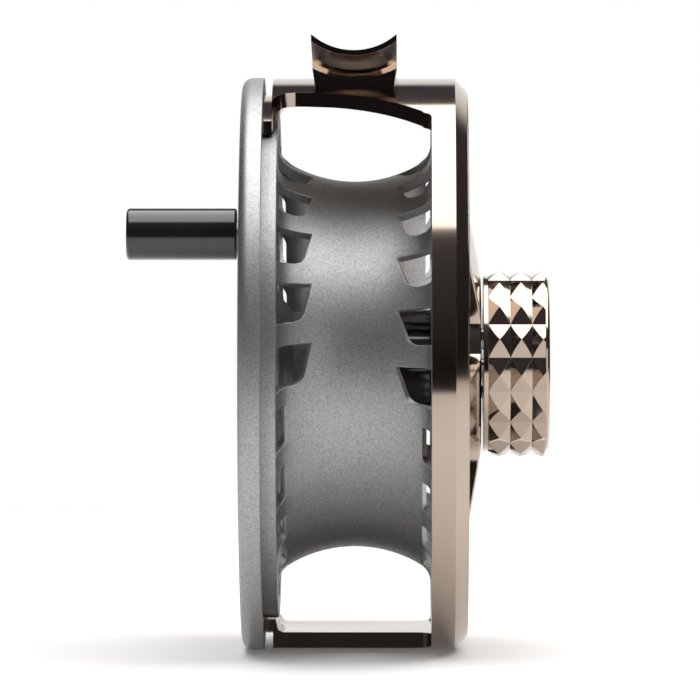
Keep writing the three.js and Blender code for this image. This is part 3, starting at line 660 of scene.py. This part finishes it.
def portColumns(side):  # each column's angle, its port's edge along X, and whether it is open
    row = portRows[side]
    pitch = 360 / row["count"]
    perPort = spool["columns"] // row["count"]
    land, cornerColumns, half = spool["land"], spool["cornerColumns"], row["half"]
    inPort = perPort - land
    start = pitch / 2 if row["count"] % 2 else 0.0
    ports = []
    for i in range(row["count"]):
        fromHandle = (i * pitch + start + 180) % 360 - 180
        if abs(fromHandle) < spool["largeZone"]:
            ports.append((i * pitch + start, row["largeTop"], row["largeBottom"]))
        else:
            ports.append((i * pitch + start, row["small"], row["small"]))
    columns = []
    for i, (centre, top, bottom) in enumerate(ports):
        nextTop, nextBottom = ports[(i + 1) % row["count"]][1:]
        topRadius = wellAt(lengthAt(top, 1))[1]
        nextTopRadius = wellAt(lengthAt(nextTop, 1))[1]
        bottomRadius = wellAt(lengthAt(bottom, 1))[1]
        cornerTurn = math.degrees(spool["corner"] / bottomRadius)
        for k in range(inPort):
            if k < cornerColumns:
                share = k / cornerColumns
                angle = centre - half + cornerTurn * share
                extra = spool["corner"] * rounding(share)
            else:
                share = (k - cornerColumns) / (inPort - cornerColumns)
                angle = centre - half + cornerTurn + (2 * half - cornerTurn) * share
                extra = 0.0
            edge = bottom + (top - bottom) * ((angle - centre + half) / (2 * half))
            columns.append({"angle": angle, "edge": edge, "extra": extra, "open": True, "top": topRadius})
        for k in range(land):
            share = k / land
            angle = centre + half + (pitch - 2 * half) * share
            extra = spool["corner"] * smooth((share - 0.6) / 0.4) * 0.9
            edge = top + (nextBottom - top) * share
            leanFrom = topRadius + (nextTopRadius - topRadius) * share
            columns.append({"angle": angle, "edge": edge, "extra": extra, "open": False, "top": leanFrom})
    evenPitch = 360 / spool["columns"]
    first = round(columns[0]["angle"] / evenPitch)
    for k, column in enumerate(columns):
        column["even"] = (first + k) * evenPitch
        column["lean"] = row["lean"]
    return columns


def spoolWall():
    shell = bmesh.new()
    outerLength = lengthAt(spool["portOuter"], 2)
    endLength = well[-1][0]
    inner, middle, outer = 9, 9, 3
    for side in (-1, 1):
        columns = portColumns(side)
        rows = []
        for r in range(inner + middle + outer + 1):
            ring = []
            for column in columns:
                edge = lengthAt(column["edge"], 1) + column["extra"]
                if r <= inner:
                    length = edge * r / inner
                elif r <= inner + middle:
                    length = edge + (outerLength - edge) * (r - inner) / middle
                else:
                    length = outerLength + (endLength - outerLength) * (r - inner - middle) / outer
                along, radius = wellAt(length)
                leaned = column["angle"] + column["lean"] * max(0.0, radius - column["top"])
                angle = column["even"] + (leaned - column["even"]) * smooth(r / inner)
                ring.append(shell.verts.new(spot(side * along, radius, spool["handleAngle"] + angle)))
            rows.append(ring)
        gridFaces(shell, rows, lambda c, r: columns[c]["open"] and inner <= r < inner + middle)
    bmesh.ops.remove_doubles(shell, verts=shell.verts, dist=2 * weldGap)
    bmesh.ops.recalc_face_normals(shell, faces=shell.faces)
    middleFace = min(shell.faces, key=lambda f: abs(f.calc_center_median().x))
    outward = middleFace.calc_center_median() - Vector((0, 0, axisZ))
    if middleFace.normal.dot(outward) < 0:
        bmesh.ops.reverse_faces(shell, faces=shell.faces)
    piece = finish("spoolWall", meshFrom(shell, "spoolWall"), "blasted_metal", "spool", ("spool",), edge=0)
    wall = piece.modifiers.new("wall", "SOLIDIFY")
    wall.thickness = spool["wall"] * mm
    wall.offset = -1
    wall.use_even_offset = False
    edge = piece.modifiers.new("brokenEdge", "BEVEL")
    edge.width = 0.14 * mm
    edge.segments = 2
    edge.limit_method = "ANGLE"
    edge.angle_limit = math.radians(35)
    edge.harden_normals = True
    return piece


def facePlate():  # the left wall: ports near its rim and five windows between spokes
    columns = portColumns(-1)
    count = len(columns)
    perWindow = count // spool["spokes"]
    turn = 360 // spool["spokes"]  # degrees from one spoke to the next
    inWindow = 60
    webFace = [(8.2, -9.4), (10.0, -11.2), (15.0, -12.0), (20.6, -12.2), (40.0, -12.2)]
    bands = [3, 2, 8, 3, 3, 5, 1]
    shell = bmesh.new()
    rows, kinds = [], []
    inner, outer, corner = spool["windowInner"], spool["windowOuter"], spool["windowCorner"]
    widen = (spool["windowOuterHalf"] - spool["windowInnerHalf"]) / (outer - inner)
    startAt = round((turn // 2 - spool["windowInnerHalf"] - columns[0]["angle"]) / turn * perWindow)
    for band, steps in enumerate(bands):
        for step in range(steps + (band == len(bands) - 1)):
            share = step / steps
            ring = []
            for c, column in enumerate(columns):
                edge = column["edge"]
                portEdge = wellAt(lengthAt(edge, 1))[1] - 0.2 * (13.5 - edge) + column["extra"]
                k = (c - startAt) % perWindow
                centre = turn * ((c - startAt) // perWindow) + turn // 2
                fromSide = max(0, min(k, inWindow - k))
                lowEdge = inner + corner * rounding(fromSide / 11)
                highEdge = outer - corner * rounding(fromSide / 7)
                stops = [8.0, 11.0, lowEdge, highEdge, 26.6, portEdge, spool["portOuter"], 38.4]
                radius = stops[band] + (stops[band + 1] - stops[band]) * share
                half = spool["windowInnerHalf"] + widen * (min(max(radius, inner), outer) - inner)
                if k <= inWindow:
                    windowAngle = centre - half + 2 * half * k / inWindow
                else:
                    windowAngle = centre + half + (turn - 2 * half) * (k - inWindow) / (perWindow - inWindow)
                leaned = column["angle"] + column["lean"] * max(0.0, radius - column["top"])
                leaned += 360 * round((windowAngle - leaned) / 360)
                angle = windowAngle + (leaned - windowAngle) * smooth((radius - outer + 0.3) / 1.6)
                angle += spool["handleAngle"]
                ring.append(shell.verts.new(spot(between(webFace, radius), radius, angle)))
            rows.append(ring)
            kinds.append(band)

    def isOpen(c, r):  # band 2 holds the windows, band 5 the ports
        return columns[c]["open"] if kinds[r] == 5 else kinds[r] == 2 and (c - startAt) % perWindow < inWindow

    gridFaces(shell, rows, isOpen)

    def farSide(co):
        radius = math.hypot(co.y, co.z - axisZ)
        return Vector(((spool["webLeft"] - (0.2 if radius > 27.5 * mm else 0)) * mm, co.y, co.z))

    thicken(shell, farSide)
    return finish("spoolFace", meshFrom(shell, "spoolFace"), "blasted_metal", "spool", edge=0.18, angle=35)


def spoolRim():
    left, right, radius, edge = spool["rimLeft"], spool["rimRight"], spool["rimRadius"], spool["rimRound"]
    arc = []
    for i in range(9):
        turn = math.radians(90 * i / 8)
        arc.append((left + edge - math.cos(turn) * edge, radius - edge + math.sin(turn) * edge))
    outline = arc + [
        (right, radius), (right, 42.77), (right - 0.45, 42.77), (right - 0.45, 39.88), (-12.2, 39.88),
        (-12.06, 39.74), (-12.06, 38.0), (-15.0, 37.9), (-16.3, 38.5), (-16.3, 41.2), (left, 41.6),
    ]
    return finish("spoolRim", turned(outline, 300), "blasted_metal", "spool", edge=0.12, angle=35)


def spoolHub():
    outline = [
        (-12.4, 9.0), (-9.4, 8.2), (0.6, 8.2), (0.6, 7.1), (-6.9, 7.1), (-6.9, 5.3), (-14.4, 5.3),
        (-14.4, 9.7), (-16.4, 9.7), (-16.4, 11.2), (-14.6, 12.8), (-14.0, 12.4),
    ]
    return finish("spoolHub", turned(outline, 120), "blasted_metal", "spool")


def handleBoss():
    outline = [(-17.15, 2.2), (-17.15, 5.2), (-12.4, 5.2), (-12.4, 2.2)]
    boss = turned(outline, 64, spool["handlePlace"])
    return finish("handleBoss", boss, "blasted_metal", "spool", edge=0.3, steps=3)


cap = {"face": -17.1, "scallops": 6, "scallopRing": 10.6, "slot": (1.2, 1.3, 11), "sharp": 20}


def capPiece():
    face, ring = cap["face"], cap["scallopRing"]
    outline = [(face, 0), (face, 8.8), (-16.85, 9.3), (-14.9, 9.3), (-14.9, 1.5), (-9.6, 1.5), (-9.6, 0)]
    scallop = [(-18, 0), (-18, 2), (-15.6, 2), (-15.6, 0)]
    cutters = []
    for i in range(cap["scallops"]):
        turn = math.radians(360 // cap["scallops"] * i + 30)
        cutters.append(turned(scallop, 40, (-ring * math.cos(turn), ring * math.sin(turn))))
    slot = bmesh.new()
    size = Matrix.Diagonal((*[side * mm for side in cap["slot"]], 1))
    bmesh.ops.create_cube(slot, size=1, matrix=Matrix.Translation((face * mm, 0, axisZ)) @ size)
    cutters.append(meshFrom(slot, "slot"))
    body = carve(turned(outline, 160), cutters)
    piece = finish("spoolCap", body, "satin_black", "spool_cap", ("spool_cap",), edge=0.16)
    piece.data.set_sharp_from_angle(angle=math.radians(cap["sharp"]))
    return piece


spoolWall()
facePlate()
spoolRim()
spoolHub()
handleBoss()
capPiece()
print("stage: spool")

# ---- frame

cage = {
    "radius": 44.9, "inside": 42.8, "left": -12.8, "ringLeft": 11.97, "ringRight": 15.65, "back": 17.7,
    "lipRadius": 42.27, "lipInner": 40.4, "lipLeft": -14.3, "chamfer": 2.2,
    "topLeft": 18.0, "topRight": 29.0, "slopeFrom": -7.8, "bottomFront": 10, "bottomBack": 17,
    "flare": 5.5, "flareWidth": 3.6, "corner": 3.2, "cornerWidth": 2.4, "topCorner": 2.0, "flatLift": 0.35,
    "flatFade": 2.4, "squareTo": 31, "squareFade": 12, "plateInner": 36.3, "step": 14.4,
}


def windowEdges(angle, last):  # left and right edge of a side window at an angle from the top
    alongSlope = max(0.0, (angle - cage["topLeft"]) / (cage["topRight"] - cage["topLeft"]))
    slope = cage["slopeFrom"] + (cage["ringLeft"] - cage["slopeFrom"]) * math.sqrt(alongSlope)
    left = cage["lipLeft"] - 2
    right = min(cage["ringLeft"], slope)
    intoTopCorner = (angle - cage["topRight"] + 1.0) / cage["topCorner"]
    if 0 <= intoTopCorner < 1:
        right = min(right, cage["ringLeft"] - 1.3 * rounding(intoTopCorner))
    intoFlare = (angle - cage["topLeft"]) / cage["flare"]
    intoCorner = (last - angle) / cage["corner"]
    if intoFlare <= 1:
        left = cage["left"] + cage["flareWidth"] * rounding(intoFlare)
    if intoCorner <= 1:
        left = cage["left"] + cage["cornerWidth"] * rounding(intoCorner)
        right = cage["ringLeft"] - cage["cornerWidth"] * rounding(intoCorner)
    return left, right


def cageOutline(right, whole):  # the ring's section, with a bar at its left or cut away to a window's edge
    inside, lip, left = cage["inside"], cage["lipInner"], cage["left"]
    radius, plate = cage["radius"], cage["plateInner"]
    back = cage["back"] - 0.2
    ring = [
        (right, radius), (cage["ringRight"], radius), (back, radius - cage["chamfer"] + 0.21),
        (back, plate), (cage["step"], plate), (cage["step"], lip), (cage["ringLeft"], lip),
        (cage["ringLeft"], inside), (right, inside),
    ]
    if not whole:
        return [(right, radius)] + ring + [(right, inside)] * 6
    return [(left, radius)] + ring + [
        (left + 1.6, inside), (left + 0.8, inside - 0.7), (left + 0.4, lip), (cage["lipLeft"], lip),
        (cage["lipLeft"], cage["lipRadius"]), (left, cage["lipRadius"]),
    ]


def tongueOutline(left):  # what is left of the bar's end beside the window, down to the lip
    inside, lip = cage["inside"], cage["lipInner"]
    start, lipLeft, lipRadius = cage["left"], cage["lipLeft"], cage["lipRadius"]
    bar = [(start, cage["radius"]), (left, cage["radius"]), (left, inside)]
    stem = [(start + 1.6, inside), (start + 0.8, inside - 0.7), (start + 0.4, lip)]
    stem = [(min(along, left), radius) for along, radius in stem]
    return bar + stem + [(lipLeft, lip), (lipLeft, lipRadius), (start, lipRadius)]


def sweep(shell, sections, closed):  # a solid through outlines about the spindle, angles from the top
    rings = []
    for angle, outline in sections:
        turn = math.radians(angle)
        rings.append([
            shell.verts.new((along * mm, -radius * math.sin(turn) * mm, axisZ + radius * math.cos(turn) * mm))
            for along, radius in outline
        ])
    count = len(rings[0])
    for i in range(len(rings) - (0 if closed else 1)):
        j = (i + 1) % len(rings)
        a, b = rings[i], rings[j]
        if sections[i][0] == sections[j][0]:  # the flat end of a bar, where the window starts
            barEnd, ring = (a, b) if sections[i][1][0][0] < sections[j][1][0][0] else (b, a)
            shell.faces.new([ring[1], barEnd[0]] + barEnd[:9:-1] + [ring[9]])
            continue
        for k in range(count):
            n = (k + 1) % count
            shell.faces.new((a[k], b[k], b[n], a[n]))
    if not closed:
        shell.faces.new(rings[0])
        shell.faces.new(list(reversed(rings[-1])))


def windowAngles(last):
    cornerStart = last - cage["corner"]
    angles = [cage["topLeft"] + cage["flare"] * i / 10 for i in range(11)]
    angles += [24 + i * 0.5 for i in range(15)]
    angles += range(32, int(cornerStart) + 1)
    angles += [cornerStart + cage["corner"] * i / 8 for i in range(9)]
    return sorted(set(angles))


def squareEnds(shell):  # the top bar's ends are cut straight down, not towards the spindle
    for vert in shell.verts:
        y, z = vert.co.y, vert.co.z - axisZ
        radius = math.hypot(y, z)
        if radius >= cage["radius"] * mm or z <= 0 or vert.co.x > (cage["ringLeft"] + 0.01) * mm:
            continue
        turn = math.asin(max(-1, min(1, y / radius)))
        share = 1 - smooth((abs(math.degrees(turn)) - cage["squareTo"]) / cage["squareFade"])
        outward = max(-0.8, min(0.8, math.sin(turn) * cage["radius"] * mm / radius))
        turn += (math.asin(outward) - turn) * share if abs(outward) < 0.8 else 0
        vert.co.y = radius * math.sin(turn)
        vert.co.z = axisZ + radius * math.cos(turn)


def flattenBottomBar(shell):  # its inner face is one flat, a little higher at the back
    inside, outside = cage["inside"] * mm, cage["radius"] * mm
    front, back = math.radians(cage["bottomFront"]), math.radians(cage["bottomBack"])
    yFront, zFront = -outside * math.sin(front), -inside * math.cos(front) + cage["flatLift"] * mm
    yBack, zBack = outside * math.sin(back), -inside * math.cos(back) - cage["flatLift"] * mm
    for vert in shell.verts:
        y, z = vert.co.y, vert.co.z - axisZ
        onInside = abs(math.hypot(y, z) - inside) < 0.00002
        if z < 0 and onInside and vert.co.x < (cage["ringLeft"] + 0.01) * mm:
            flat = zFront + (zBack - zFront) * (y - yFront) / (yBack - yFront)
            past = max(0, y - yBack, yFront - y)
            vert.co.z += (axisZ + flat - vert.co.z) * (1 - smooth(past / (cage["flatFade"] * mm)))


def ringSections(last, sign):  # the ring beside one window, front or back
    start = 0 if sign > 0 else 360
    angles = windowAngles(last)
    if sign < 0:
        angles.reverse()
    return [(start + sign * angle, cageOutline(windowEdges(angle, last)[1], False)) for angle in angles]


def cageRing():
    shell = bmesh.new()
    frontLast, backLast = 180 - cage["bottomFront"], 180 - cage["bottomBack"]
    topRight = windowEdges(cage["topLeft"], frontLast)[1]
    bottomRight = windowEdges(frontLast, frontLast)[1]
    topBar, bottomBar = cageOutline(topRight, True), cageOutline(bottomRight, True)
    sections = [(angle, topBar) for angle in range(-17, 18)] + [(cage["topLeft"], topBar)]
    sections += ringSections(frontLast, 1)
    sections += [(frontLast + i, bottomBar) for i in range(cage["bottomFront"] + cage["bottomBack"])]
    sections += [(360 - backLast, bottomBar)]
    sections += ringSections(backLast, -1)
    sections += [(360 - cage["topLeft"], topBar)]
    sweep(shell, sections, True)
    bmesh.ops.remove_doubles(shell, verts=shell.verts, dist=weldGap)
    flare, corner = cage["flare"], cage["corner"]
    top = [cage["topLeft"] - 0.4] + [cage["topLeft"] + flare * i / 10 for i in range(11)]
    for side in (1, -1):
        ends = [(side * angle, tongueOutline(windowEdges(angle, frontLast)[0])) for angle in top]
        sweep(shell, ends, False)
    bottom = [backLast - corner + corner * i / 8 for i in range(9)] + [backLast + 0.4]
    lefts = [windowEdges(min(angle, backLast), backLast)[0] for angle in bottom]
    sweep(shell, [(-angle, tongueOutline(left)) for angle, left in zip(bottom, lefts)], False)
    squareEnds(shell)
    flattenBottomBar(shell)
    bmesh.ops.recalc_face_normals(shell, faces=shell.faces)
    mesh = meshFrom(shell, "frameCage")
    return finish("frameCage", mesh, "polished_metal", "frame", ("frame_cage",), edge=0.34, steps=3, angle=32)


def backPlate():  # hub, five arms and the ring's back face
    arms, perArm, inArm = 5, 60, 22
    count, turn = arms * perArm, 360 // arms
    topRows = [(0, 19.8), (13.4, 19.8), (17.0, 19.3), (26.0, 17.7), (60, 17.7)]
    halfRows = [(0, 5.0), (13.4, 5.0), (17.0, 5.2), (26.0, 5.75), (36.0, 7.3), (60, 7.6)]
    bands = [2, 4, 14, 3]
    shell = bmesh.new()
    rows, kinds = [], []
    for band, steps in enumerate(bands):
        for step in range(steps + (band == len(bands) - 1)):
            ring = []
            for c in range(count):
                k, arm = c % perArm, c // perArm
                fromEdge = min(k - inArm, perArm - k)
                low = 13.4 + 2.2 * rounding(fromEdge / 9)  # rounding gives 1 on an arm
                high = 36.0 - 2.4 * rounding(fromEdge / 5)
                stops = [2.9, 9.0, low, high, 42.66]
                radius = stops[band] + (stops[band + 1] - stops[band]) * step / steps
                half = math.degrees(math.asin(min(0.95, between(halfRows, radius) / max(radius, 12.5))))
                if k <= inArm:
                    angle = turn * arm - half + 2 * half * k / inArm
                else:
                    angle = turn * arm + half + (turn - 2 * half) * (k - inArm) / (perArm - inArm)
                even = turn * arm - turn * inArm / perArm / 2 + turn * k / perArm
                angle = even + (angle - even) * smooth((radius - 6) / 6) * (1 - smooth((radius - 36.5) / 5))
                ring.append(shell.verts.new(spot(between(topRows, radius), radius, -90 + angle)))
            rows.append(ring)
            kinds.append(band)
    gridFaces(shell, rows, lambda c, r: kinds[r] == 2 and c % perArm >= inArm)
    thicken(shell, lambda co: Vector((14.2 * mm, co.y, co.z)))
    mesh = meshFrom(shell, "framePlate")
    return finish("framePlate", mesh, "polished_metal", "frame", edge=0.28, steps=3, angle=30)


def dragCan():
    outline = [
        (2.6, 7.3), (2.6, 8.7), (11.9, 8.7), (11.9, 12.2),
        (13.9, 12.2), (13.9, 3.1), (12.4, 3.1), (12.4, 7.3),
    ]
    can = turned(outline, 160)
    return finish("dragCan", can, "gloss_black", "frame", ("drag_housing",), edge=0.2, steps=3)


cageRing()
backPlate()
dragCan()
print("stage: frame")

# ---- foot

foot = {
    "length": 64.0, "half": 6.55, "saddle": 10.0, "tip": 0.8, "neck": 3.4, "root": 4.3, "top": 49.2,
    "pedestal": 12.0, "pedestalHalf": 6.5, "pedestalLow": 43.2, "rootEnd": 12.5, "neckStart": 13.6,
}


def reelFoot():
    reach = math.asin(foot["half"] / foot["saddle"])
    end = foot["length"] / 2
    across = 28
    rootEnd, neckStart = foot["rootEnd"], foot["neckStart"]
    thickness = [(0, foot["root"]), (rootEnd, foot["root"]), (neckStart, foot["neck"]), (end, foot["tip"])]
    places = [end * (1 - 2 * i / 96) for i in range(97)]
    places += [side * place for side in (-1, 1) for place in (foot["pedestal"], rootEnd, neckStart)]
    shell = bmesh.new()
    centre = foot["top"] + foot["saddle"]

    def section(y, standing):
        ring = []
        for i in range(across + 1):
            turn = -reach + 2 * reach * i / across
            ring.append((math.sin(turn) * foot["saddle"], centre - math.cos(turn) * foot["saddle"]))
        thick = foot["saddle"] + between(thickness, abs(y))
        for i in range(across + 1):
            x = foot["half"] - 2 * foot["half"] * i / across
            low = centre - math.sqrt(thick ** 2 - x ** 2)
            if standing:
                x = max(-foot["pedestalHalf"], min(foot["pedestalHalf"], x))
                low = low if i in (0, across) else foot["pedestalLow"]
            ring.append((x, low))
        return [shell.verts.new((x * mm, y * mm, axisZ + z * mm)) for x, z in ring]

    sections = []
    for y in sorted(places):
        if abs(abs(y) - foot["pedestal"]) < 0.01:
            pair = [section(y, False), section(y, True)]
            sections += pair if y < 0 else list(reversed(pair))
        else:
            sections.append(section(y, abs(y) < foot["pedestal"]))
    count = len(sections[0])
    for a, b in zip(sections, sections[1:]):
        for k in range(count):
            n = (k + 1) % count
            shell.faces.new((a[k], a[n], b[n], b[k]))
    for ring in (sections[0], sections[-1]):
        for k in range(across):
            shell.faces.new((ring[k], ring[k + 1], ring[count - 2 - k], ring[count - 1 - k]))
    bmesh.ops.remove_doubles(shell, verts=shell.verts, dist=weldGap)
    bmesh.ops.dissolve_degenerate(shell, edges=shell.edges, dist=weldGap)
    bmesh.ops.recalc_face_normals(shell, faces=shell.faces)
    mesh = meshFrom(shell, "reelFoot")
    return finish("reelFoot", mesh, "polished_metal", "frame", ("reel_foot",), edge=0.14, angle=38)


reelFoot()
print("stage: foot")

# ---- drag knob

knob = {
    "left": 20.1, "right": 30.45, "valley": 13.8, "core": 13.3, "peak": 14.67, "sides": 16, "phase": 6.0,
    "first": 20.9, "pitch": 3.4, "rows": 3, "rowsEnd": 29.8, "cells": 6,
}


def knobKnurl():  # turned V grooves crossed by flat cuts, which leaves rows of pyramids
    shell = bmesh.new()
    cells, valley, peak = knob["cells"], knob["valley"], knob["peak"]
    half = math.radians(180 / knob["sides"])
    levels = []  # how high a flat cut stands, from a groove to a peak
    for i in range(cells + 1):
        fromPeak = half * (1 - i / cells)
        reach = peak * math.sin(fromPeak) + valley * math.sin(half - fromPeak)
        radius = valley * peak * math.sin(half) / reach
        levels.append((radius - valley) / (peak - valley))
    count = 2 * cells * knob["sides"]
    rings = []
    for r in range(2 * cells * knob["rows"]):
        inRow = r % (2 * cells)
        fromGroove = min(inRow, 2 * cells - inRow)
        across = levels[inRow] if inRow <= cells else 2 - levels[fromGroove]
        along = knob["first"] + knob["pitch"] * (r // (2 * cells) + across / 2)
        ring = []
        for i in range(count):
            inSide = i % (2 * cells)
            level = levels[min(fromGroove, inSide, 2 * cells - inSide)]
            place = min(along, knob["rowsEnd"])
            radius = valley + (peak - valley) * level
            ring.append(shell.verts.new(spot(place, radius, knob["phase"] + 360 * i / count)))
        rings.append(ring)
        if along >= knob["rowsEnd"]:
            break
    for r in range(len(rings) - 1):
        for i in range(count):
            n = (i + 1) % count
            a, b, c, d = rings[r][i], rings[r + 1][i], rings[r + 1][n], rings[r][n]
            towardsPeak = (r // cells % 2 == 0) == (i // cells % 2 == 0)
            for corners in ((a, b, c), (a, c, d)) if towardsPeak else ((a, b, d), (b, c, d)):
                shell.faces.new(corners)
    shell.faces.new(rings[0])
    shell.faces.new(list(reversed(rings[-1])))
    bmesh.ops.recalc_face_normals(shell, faces=shell.faces)
    mesh = meshFrom(shell, "knobKnurl")
    return finish("knobKnurl", mesh, "polished_metal", "drag_knob", ("drag_knob",), edge=0.07, angle=9)


def knobCore():
    left, right, valley, inner = knob["left"], knob["right"], knob["valley"], knob["core"] - 1.0
    grooveLeft, grooveRight = knob["first"] + 0.03, knob["rowsEnd"] - 0.05
    outline = [
        (left, 9.1), (left, valley), (grooveLeft, valley), (grooveLeft, inner), (grooveRight, inner),
        (grooveRight, valley + 0.05), (right - 0.25, valley - 0.1), (right, valley - 0.6), (right, 9.2),
        (right - 0.5, 8.8), (right - 0.5, 5.2), (right - 0.2, 4.9), (right - 0.2, 4.6), (27.9, 4.6),
        (27.9, 3.0), (24.2, 3.0), (24.2, 9.1),
    ]
    return finish("knobBody", turned(outline, 200), "polished_metal", "drag_knob", edge=0.12)


def socketScrew(name, outline, body, node, at, socketFrom, socketTo, socketRadius):
    socket = [(socketFrom, 0), (socketFrom, socketRadius), (socketTo, socketRadius), (socketTo, 0)]
    cutter = turned(socket, 6, at)
    return finish(name, carve(turned(outline, 64, at), [cutter]), "steel", body, (node,), edge=0.1)


knobKnurl()
knobCore()
socketScrew(
    "knobScrew",
    [(22.4, 0), (22.4, 1.1), (22.7, 1.3), (28.9, 1.3), (28.9, 4.0), (29.9, 4.0), (30.2, 3.6), (30.2, 0)],
    "frame", "knob_screw", (0, 0), 29.3, 31, 2.0,
)
print("stage: drag knob")

# ---- handle

grip = {"root": -18.0, "end": -35.0, "radius": 4.0, "bore": 3.3, "endRound": 0.55}


def handleGrip():
    place = spool["handlePlace"]
    root, end, radius, bore, edge = (grip[key] for key in ("root", "end", "radius", "bore", "endRound"))
    outline = [(root, bore), (root, radius - 0.3), (root - 0.3, radius)]
    for i in range(6):
        turn = math.radians(90 * i / 5)
        outline.append((end + edge * (1 - math.sin(turn)), radius - edge * (1 - math.cos(turn))))
    outline += [(end, bore + 0.1), (end + 0.1, bore)]
    tube = turned(outline, 96, place)
    finish("handleGrip", tube, "satin_black", "handle_grip", ("handle_grip",), edge=0.08)
    socketScrew(
        "handleScrew",
        [(-27.6, 0), (-27.6, 0.9), (-34.1, 0.9), (-34.1, 2.9), (-34.6, 2.9), (-34.9, 2.6), (-34.9, 0)],
        "spool", "handle_screw", place, -36, -34.4, 1.4,
    )


handleGrip()
print("stage: handle")
